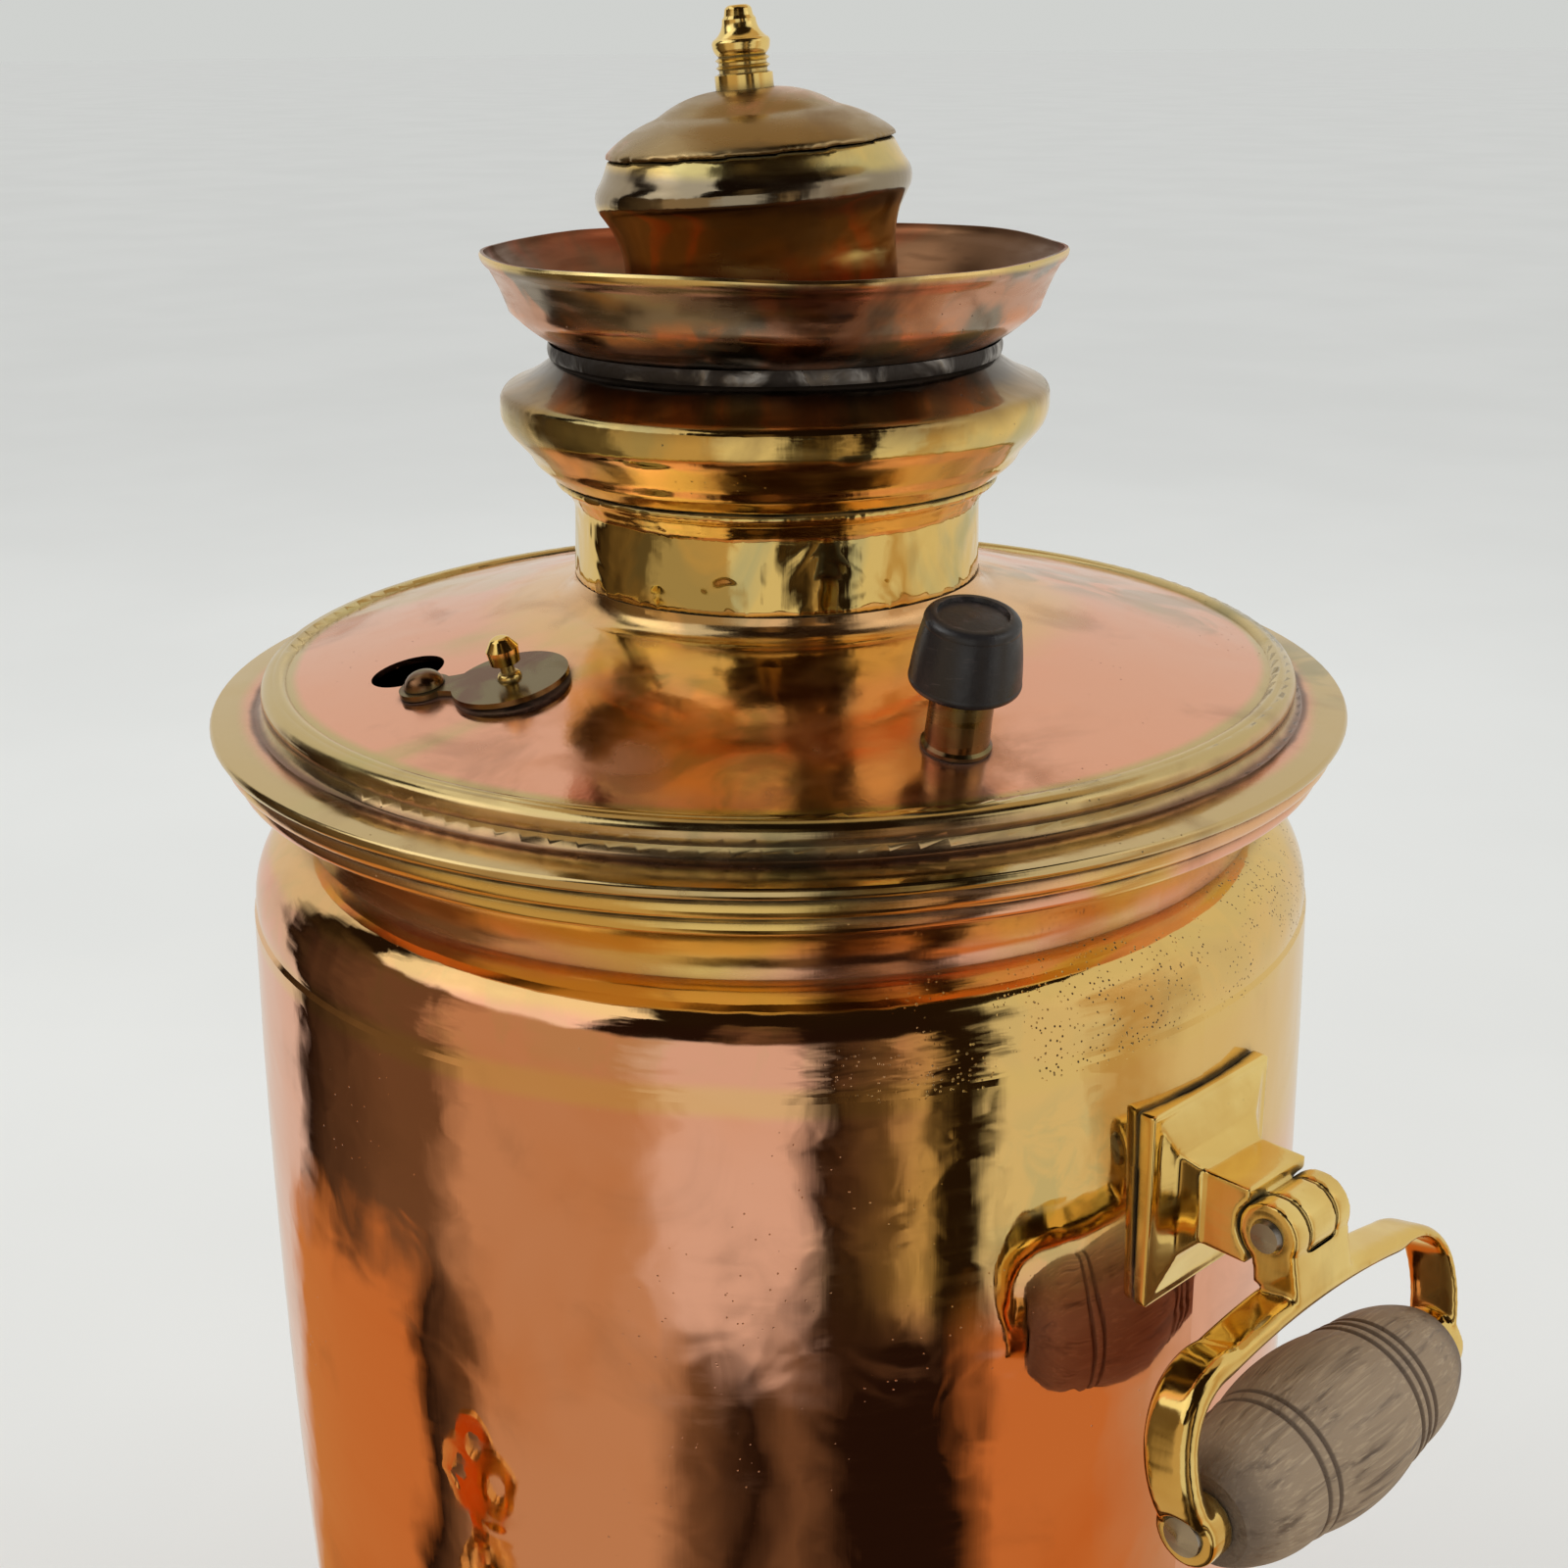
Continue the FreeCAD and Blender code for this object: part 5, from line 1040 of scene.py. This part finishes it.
@dataclass
class Finishes:
    """Every finish of the samovar, built once."""

    made: dict[str, bpy.types.Material] = field(default_factory=dict)

    def make(self) -> None:
        """Build the finishes and keep them by slot."""
        shoulder_side = Zone(Where.SIDE, 125.0, 22.0, 24.0, (98.0, 0.0, 0.0))
        finishes = {
            "copper": Metal(
                "body_copper", Tone.ROSE_COPPER, Tone.ORANGE_COPPER, patch_scale=7.0, patch_low=0.50,
                patch_high=0.72, gloss=0.02, dull=0.09, scratch=0.000004, wave=0.0012, wave_scale=13.0,
                ripple=0.00016, ripple_scale=62.0, pits=0.3, tarnish_share=0.16,
                pitted=(Zone(Where.HEIGHT, 362.0, 9.0, 4.0), shoulder_side),
                tints=(
                    Tint(Tone.YELLOW_BRASS, (shoulder_side, Zone(Where.HEIGHT, 350.0, 34.0, 26.0)), 0.85,
                         12.0, 20.0),
                    Tint(Tone.GREEN_BRASS, (Zone(Where.POINT, 0.0, 10.0, 18.0, (120.0, -34.0, 322.0)),), 0.6,
                         8.0, 60.0, patchy=True),
                    # painted highlight: a thin yellow line along the shoulder's crease at 350 mm
                    Tint(Tone.YELLOW_BRASS, (Zone(Where.HEIGHT, 350.0, 1.4, 3.0),), 0.45, 1.2),
                    Tint(Tone.YELLOW_BRASS, (Zone(Where.HEIGHT, 368.0, 2.6, 3.0),), 0.6, 2.0),
                    Tint(Tone.GREEN_BRASS, (Zone(Where.HEIGHT, 366.0, 10.0, 6.0),), 0.2, 6.0, patchy=True),
                )),
            "lid_copper": Metal(
                "lid_copper", Tone.ROSE_COPPER, Tone.GREEN_BRASS, patch_scale=11.0, gloss=0.09, dull=0.24,
                wave=0.0005, wave_scale=24.0, pits=0.9, patch_low=0.56, patch_high=0.76, tarnish_share=0.3,
                tints=(
                    Tint(Tone.YELLOW_BRASS, (Zone(Where.RADIUS, 46.0, 12.0, 16.0),), 0.5, 9.0, 24.0),
                    Tint(Tone.GREEN_BRASS, (Zone(Where.RADIUS, 115.4, 2.8, 2.6),), 0.85, 1.2, 20.0),
                    Tint(Tone.GREEN_BRASS, (Zone(Where.RADIUS, 132.0, 7.0, 4.0),), 0.8, 3.0, 16.0),
                    Tint(Tone.VERDIGRIS, (Zone(Where.POINT, 88.0, 8.0, 16.0, (93.0, 8.0, 409.0)),), 0.5, 10.0,
                         26.0, patchy=True),
                    Tint(Tone.VERDIGRIS, (Zone(Where.POINT, 11.5, 0.5, 1.2, (-28.0, 77.0, 410.0)),), 0.8, 0.8,
                         90.0, patchy=True),
                    # darker in a thin ring at radius 120.6 mm, where the lid's groove is
                    Tint(Tone.DIRT, (Zone(Where.RADIUS, 120.6, 0.5, 1.5),), 0.7, 0.8, 80.0),
                )),
            "collar_brass": Metal(
                "collar_brass", Tone.ROSE_COPPER, Tone.YELLOW_BRASS, gloss=0.09, dull=0.22, wave=0.0004,
                patch_low=0.46, patch_high=0.62, shade_reach=0.006, ripple=0.00008,
                tints=(Tint(Tone.YELLOW_BRASS, (Zone(Where.HEIGHT, 393.0, 3.4, 3.0),), 0.3, 1.5),)),
            "old_copper": Metal(
                "dish_copper", Tone.OLD_COPPER, Tone.GREY_TARNISH, gloss=0.14, dull=0.34, tarnish_share=0.8,
                patch_scale=17.0, patch_low=0.46, patch_high=0.54, wave=0.0006, wave_scale=30.0, ripple=0.0002,
                tints=(
                    Tint(Tone.PALE_BRASS, (Zone(Where.HEIGHT, 496.0, 0.5, 1.3),), 0.7, 0.6),
                    Tint(Tone.ORANGE_COPPER, (Zone(Where.HEIGHT, 480.0, 4.0, 4.0),), 0.6, 3.0, 60.0,
                         patchy=True),
                )),
            "dish_inside": Metal(
                "dish_inside", Tone.BROWN_TARNISH, Tone.RED_COPPER, gloss=0.30, dull=0.50, tarnish_share=0.7,
                patch_scale=22.0, wave=0.0004, wave_scale=40.0),
            "dome_copper": Metal(
                "dome_copper", Tone.DULL_BRASS, Tone.OLD_COPPER, patch_scale=26.0, patch_low=0.5,
                patch_high=0.7, gloss=0.22, dull=0.40, wave=0.0004, wave_scale=40.0, shade_reach=0.003, tarnish_share=0.45),
            "brass": Metal(
                "brass", Tone.YELLOW_BRASS, Tone.PALE_BRASS, gloss=0.07, dull=0.19, wave=0.0003,
                wave_scale=40.0, shade_reach=0.004, patch_scale=24.0, tarnish_share=0.2, pits=0.7),
            "base_brass": Metal(
                "base_brass", Tone.YELLOW_BRASS, Tone.ORANGE_COPPER, gloss=0.12, dull=0.28, wave=0.0004,
                shade_reach=0.010),
            "tinned_copper": Metal(
                "tinned_copper", Tone.LEAD_GREY, Tone.SOOT, gloss=0.35, dull=0.55, shade_reach=0.02),
            "iron": Metal("grate_iron", Tone.SOOT, Tone.BROWN_TARNISH, gloss=0.5, dull=0.8, wave=0.0006,
                          wave_scale=90.0),
            "solder": Solder("solder"),
            "bronze": Metal("dark_bronze", Tone.DARK_BRONZE, Tone.BROWN_TARNISH, gloss=0.16, dull=0.36,
                            wave=0.0001, patch_scale=60.0, shade_reach=0.003),
            "steel": Metal("pin_steel", Tone.STEEL, Tone.LEAD_GREY, gloss=0.22, dull=0.42, wave=0.0001,
                           shade_reach=0.003),
            "black_knob": StainedKnob("black_knob"),
            "grip_wood": TurnedWood("grip_wood", (-19.9, -16.7, 13.5, 16.7, 19.9)),
            "neck_brass": Metal(
                "neck_brass", Tone.YELLOW_BRASS, Tone.GREEN_BRASS, gloss=0.03, dull=0.10, wave=0.0018,
                wave_scale=36.0, ripple=0.0005, ripple_scale=95.0, patch_scale=26.0, shade_reach=0.007,
                tarnish_share=0.25),
            "cap_brass": Metal(
                "cap_brass", Tone.YELLOW_BRASS, Tone.GREEN_BRASS, gloss=0.08, dull=0.20, wave=0.0005,
                wave_scale=44.0, ripple=0.00012, patch_scale=24.0, shade_reach=0.006, tarnish_share=0.4,
                tints=(
                    Tint(Tone.GREY_TARNISH, (Zone(Where.HEIGHT, 509.5, 2.6, 3.0),), 0.9, 2.6, 50.0),
                    Tint(Tone.RED_COPPER, (Zone(Where.HEIGHT, 478.0, 13.0, 5.0),), 0.8, 3.0, 60.0),
                )),
            "ring_brass": Metal(
                "ring_brass", Tone.YELLOW_BRASS, Tone.GREEN_BRASS, gloss=0.06, dull=0.18, wave=0.0005,
                wave_scale=40.0, ripple=0.00014, patch_scale=22.0, shade_reach=0.006, tarnish_share=0.4, pits=0.9,
                tints=(
                    Tint(Tone.BROWN_TARNISH, (Zone(Where.HEIGHT, 477.0, 9.0, 6.0),), 0.75, 4.0, 40.0),
                    Tint(Tone.SOOT, (Zone(Where.HEIGHT, 477.0, 5.6, 4.6),), 0.92, 3.0, 55.0),
                )),
        }
        for slot, finish in finishes.items():
            self.made[slot] = finish.build()
        LOG.info("%d finishes", len(self.made))

    def dress_nodes(self, frame: dict) -> None:
        """Give each of the model's nodes its finish.
        """
        own = {"cap_body": "cap_brass", "chimney_neck": "neck_brass", "stand_ring": "ring_brass",
               "vent_cover": "bronze", "vent_cover_knob": "brass"}
        for part in frame["record"]["subparts"]:
            node = frame["nodes"][part["node"]]
            material = self.made[own.get(part["node"], part["material_slot"])]
            for slot in node.material_slots:
                slot.material = material


@dataclass
class Chimney:
    """The pieces of beaten sheet: neck, ring, cap and dome, and the dish, whose radii are in millimetres.

    The dish stands just over the floor of the model's own dish, and its rim is at the same height.
    """

    grain: float = 0.80
    rounds: int = 4
    beaten: tuple[tuple[str, str, str, str, Dent], ...] = (
        ("chimney_neck", "lid", "neck_brass", "brass", Dent(0.00050, 62.0, 1.0)),
        ("stand_ring", "stand", "ring_brass", "brass", Dent(0.00055, 48.0, 2.0)),
        ("cap_body", "cap", "cap_brass", "brass", Dent(0.00040, 55.0, 5.0)),
        ("cap_dome", "cap", "dome_copper", "dome_copper", Dent(0.00035, 60.0, 8.0)),
    )
    dish_hole: float = 28.3
    dish_wall: float = 1.4
    floor_over: float = 0.2
    rim_over: float = 0.011
    dish_steps: int = 192
    dish_dent: Dent = Dent(0.0007, 46.0, 3.0, 0.0011)
    upward: float = 0.9

    def make(self, frame: dict, finishes: Finishes) -> None:
        """Model the pieces.

        Args:
            finishes: The finishes.
        """
        self.make_dish(finishes)
        for node, body, finish, slot, dent in self.beaten:
            piece = worn_copy(frame["nodes"][node], f"beaten_{node}", self.grain, self.rounds, dent)
            settle(piece, finishes.made[finish], slot, body, node)

    def dish_outline(self) -> Profile:
        """Return the dish's outline: along its outside to the rim, and back down its inside."""
        lowest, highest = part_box("stand_dish")
        floor, rim = lowest.z / MM + self.floor_over, highest.z / MM + self.rim_over
        outline = [(self.dish_hole, floor), (47.2, floor)]
        outline += arc((47.2, floor), (58.9, floor + 8.3), 0.05)
        outline += arc((58.9, floor + 8.3), (62.9, rim - 3.2), -0.03)
        outline += arc((62.9, rim - 3.2), (64.6, rim - 0.6), 0.12, 4)
        outline += [(64.3, rim), (63.6, rim)]
        outline += arc((63.6, rim), (61.8, rim - 3.4), -0.12, 4)
        outline += arc((61.8, rim - 3.4), (57.6, floor + 9.6), 0.03)
        outline += arc((57.6, floor + 9.6), (46.8, floor + self.dish_wall), -0.05)
        return outline + [(self.dish_hole, floor + self.dish_wall)]

    def make_dish(self, finishes: Finishes) -> None:
        """Model the thin dish with its uneven rim and its darker inside.

        Args:
            finishes: The finishes.
        """
        dish = turned_shell("dish", self.dish_outline(), self.dish_steps, self.dish_dent)
        settle(dish, finishes.made["old_copper"], "old_copper", "stand", "stand_dish")
        dish.data.materials.append(finishes.made["dish_inside"])
        for face in dish.data.polygons:
            inward = face.normal.x * face.center.x + face.normal.y * face.center.y < 0.0
            if inward or face.normal.z > self.upward:
                face.material_index = 1


@dataclass
class Castings:
    """The handles' brackets and yokes, as old castings.

    Each kind has the size of its faces, in millimetres, and its rounds of wear.
    """

    worn: dict[str, tuple[float, int]] = field(default_factory=lambda: {
        "handle_bracket": (0.55, 5),
        "handle_yoke": (0.55, 16),
    })

    def make(self, frame: dict, finishes: Finishes) -> None:
        """Model the castings of both handles.

        Args:
            finishes: The finishes.
        """
        for side in ("right", "left"):
            for stem, (grain, rounds) in self.worn.items():
                node = f"{stem}_{side}"
                body = f"{side}_handle" if stem == "handle_yoke" else "root"
                piece = worn_copy(frame["nodes"][node], f"worn_{node}", grain, rounds)
                settle(piece, finishes.made["brass"], "brass", body, node)


def main() -> None:
    """Build the scene."""
    logging.basicConfig(level=logging.INFO, format="%(message)s")
    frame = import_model()
    Camera().make()
    Studio().make()
    finishes = Finishes()
    finishes.make()
    finishes.dress_nodes(frame)
    Chimney().make(frame, finishes)
    Castings().make(frame, finishes)
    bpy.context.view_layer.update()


if __name__ == "__main__":
    main()
